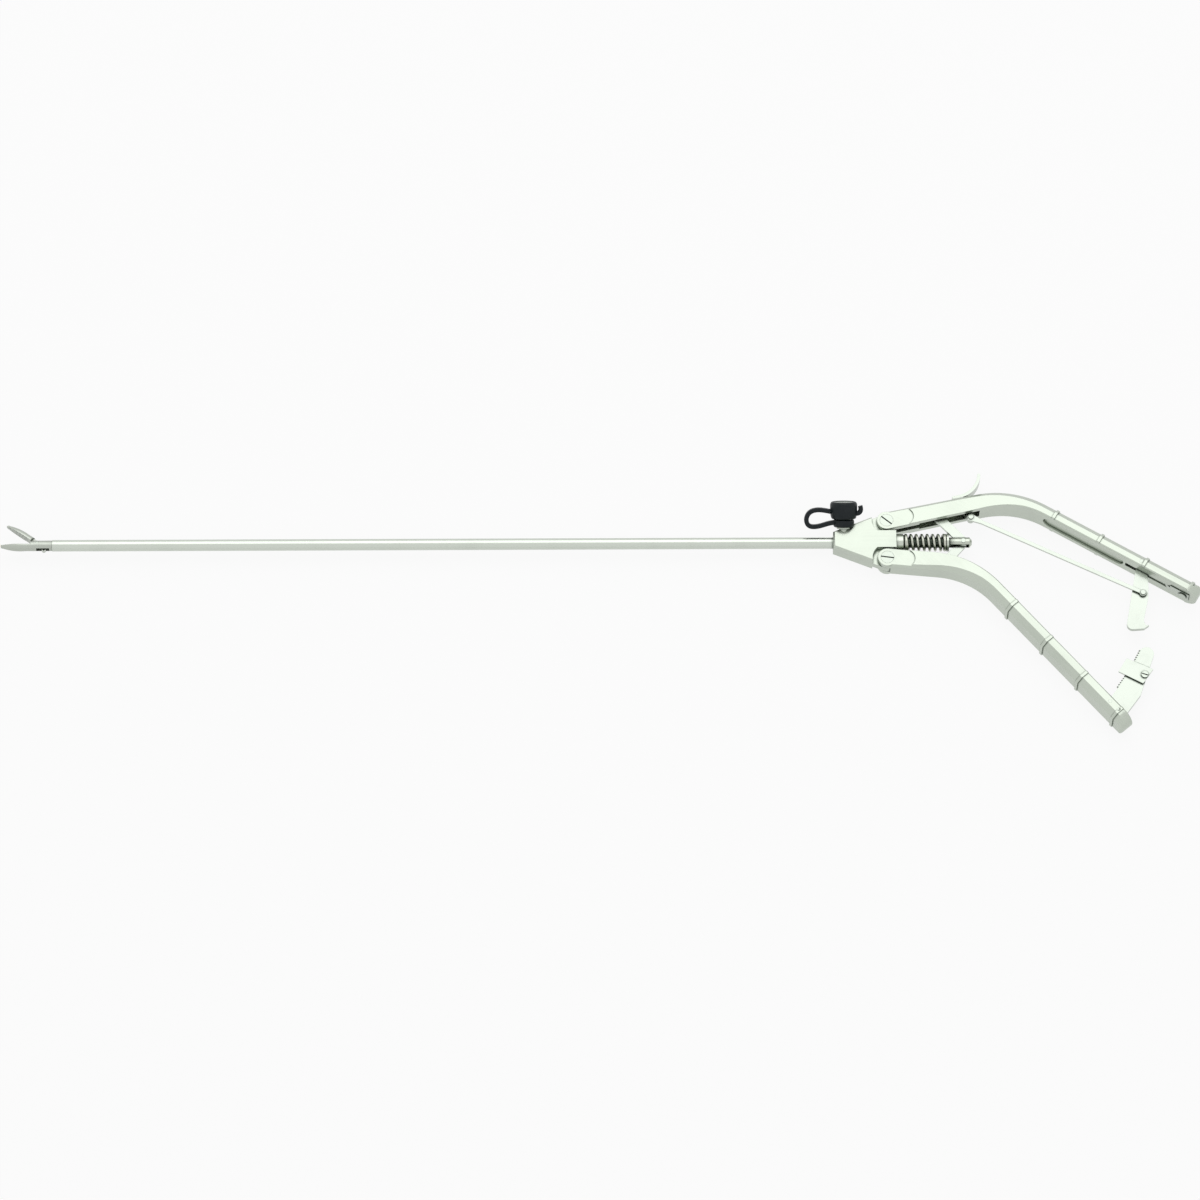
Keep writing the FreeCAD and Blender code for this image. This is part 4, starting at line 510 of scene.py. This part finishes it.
port_way = Vector((0, math.cos(PORT_TILT), math.sin(PORT_TILT)))
# The top disc's faces take the painted-reflection finish.
for face in cap.data.polygons:
    height = face.center.dot(port_way)
    if height > DISC_HEIGHT - 0.01 * MM and (face.center - PORT_FOOT).length < DISC_REACH:
        face.material_index = 1
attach(cap, "port_closure")
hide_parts("port_cap")
disc_faces = sum(face.material_index for face in cap.data.polygons)
print("cap:", len(cap.data.polygons), "faces,", disc_faces, "of them on the disc")

# %% [markdown]
# ### The strap
#
# The ring grips the port's neck and has a short skirt over its collar. The loop leaves it towards the shaft,
# swings out and up, and comes back to the cap.

# %% Mould the ring and the looped strap
ring_profile = [(2.76, 7.95), (3.1, 7.9), (3.1, 7.0), (3.9, 7.0), (4.3, 7.3), (4.6, 8.4), (4.6, 9.3),
                (4.5, 10.0), (4.2, 10.28), (2.9, 10.28), (2.76, 10.0)]
loop_route = [(-3.4, 9.1), (-6.0, 8.9), (-9.0, 7.8), (-12.6, 7.0), (-15.6, 7.4), (-16.6, 10.4), (-15.2, 13.7),
              (-11.6, 14.8), (-8.6, 14.4), (-5.7, 13.8)]
loop = band("Strap_Loop", loop_route, width=3.8, thickness=2.0)
ring = turned_rubber("Strap_Ring", ring_profile)
strap = tilted("Rubber_Strap", joined("Rubber_Strap", [ring, loop]), cap_rubber)
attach(strap, "instrument_body")
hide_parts("cap_strap")
print("strap:", len(strap.data.polygons), "faces")

# %% [markdown]
# ## Floor, light and background
#
# The photograph is a studio shot on white, so bright that the floor has no edge. White here is the colour of
# the floor and the world as the camera and the steel see them, not more lamp on the object. One broad lamp
# stands where the flat tops of the handles mirror it towards the camera, which turns them nearly white, while
# their side faces keep the grey-green of the steel.

# %% White world and pale floor
def seen_directly(tree):
    """1 where the camera, a reflection or a pane of glass looks, else 0."""
    path = tree.tree.nodes.new("ShaderNodeLightPath")
    labels = ("Is Camera Ray", "Is Glossy Ray", "Is Transmission Ray")
    look, mirror, through = (Signal(tree.tree, path.outputs[label]) for label in labels)
    return look.most(mirror).most(through)


world = bpy.data.worlds.new("Studio")
bpy.context.scene.world = world
world.use_nodes = True
world.node_tree.nodes.clear()
air = Tree(world.node_tree)
white = seen_directly(air)
glow = air.add("ShaderNodeBackground", color=(1, 1, 1, 1), strength=0.55 + white * 0.45)
world.node_tree.links.new(glow.socket, world.node_tree.nodes.new("ShaderNodeOutputWorld").inputs[0])

lowest = solid_box[0][2]
reach = 4.0
floor_mesh = bpy.data.meshes.new("Floor")
floor_corners = [(x * reach, y * reach, lowest) for x, y in ((-1, -1), (1, -1), (1, 1), (-1, 1))]
floor_mesh.from_pydata(floor_corners, [], [(0, 1, 2, 3)])
floor = bpy.data.objects.new("Floor", floor_mesh)
bpy.context.collection.objects.link(floor)
paper, sheet = new_tree("Pale_Floor")
fleck = sheet.add("ShaderNodeTexNoise", vector=sheet.add("ShaderNodeTexCoord", out="Object"), scale=300.0)
shade = sheet.add("ShaderNodeMix", {"data_type": "RGBA"}, factor__0=fleck, a__0=(0.9, 0.9, 0.9, 1),
                  b__0=(0.94, 0.94, 0.94, 1), out="Result")
matt = sheet.add("ShaderNodeBsdfDiffuse", color=shade)
lit = sheet.add("ShaderNodeEmission", color=(1, 1, 1, 1), strength=1.0)
mixed = sheet.add("ShaderNodeMixShader", fac=seen_directly(sheet) * 0.9, shader__0=matt, shader__1=lit)
paper_output = paper.node_tree.nodes.new("ShaderNodeOutputMaterial")
paper.node_tree.links.new(mixed.socket, paper_output.inputs["Surface"])
floor_mesh.materials.append(paper)
print("floor at", round(lowest * 1000, 2), "mm")

# %% [markdown]
# ### One broad lamp
#
# The lamp is a square, a metre and a half wide, above the object and behind it. At this size the shadows have
# no hard edge, and its image in the steel covers a whole handle.

# %% Studio lamp
def lamp(name, place, target, width, power):
    """A square soft lamp that looks at a point."""
    light = bpy.data.lights.new(name, "AREA")
    light.energy = power
    light.size = width
    held = bpy.data.objects.new(name, light)
    bpy.context.collection.objects.link(held)
    held.location = place
    held.rotation_euler = (Vector(target) - Vector(place)).to_track_quat("-Z", "Y").to_euler()


lamp("Top_Lamp", place=(0.0, 0.75, 1.35), target=(0.0, 0, 0), width=1.5, power=6.4)

# %% [markdown]
# ## The camera
#
# Matching points on the photograph, such as both pivot screws, the rod's end, the jaw's tip and the handles'
# ends, give the camera's place. They agree best with a long lens from about two and a half metres, looking
# down at 64 degrees, which is why the tube's two sides look parallel.

# %% Place the camera
camera_data = bpy.data.cameras.new("Camera")
camera = bpy.data.objects.new("Camera", camera_data)
bpy.context.collection.objects.link(camera)
bpy.context.scene.camera = camera
steepness = math.radians(64.46)
sideways = math.radians(-0.226)
aim = Vector((-0.10146, -0.02706, 0))
distance = 2.5
level = math.cos(steepness)
look = Vector((-math.sin(sideways) * level, math.cos(sideways) * level, -math.sin(steepness)))
camera.location = aim - look * distance
camera.rotation_euler = look.to_track_quat("-Z", "Y").to_euler()
sensor_width = 36
focal_pixels = 5774.6
picture_pixels = 1200
camera_data.sensor_width = sensor_width
camera_data.lens = sensor_width * focal_pixels / picture_pixels
camera_data.clip_end = 20
print("lens", round(camera_data.lens, 1), "mm at", distance, "m")

# %% [markdown]
# ## The view transform
#
# The picture uses the standard view transform.

# %% Use the standard view transform
bpy.context.scene.view_settings.view_transform = "Standard"
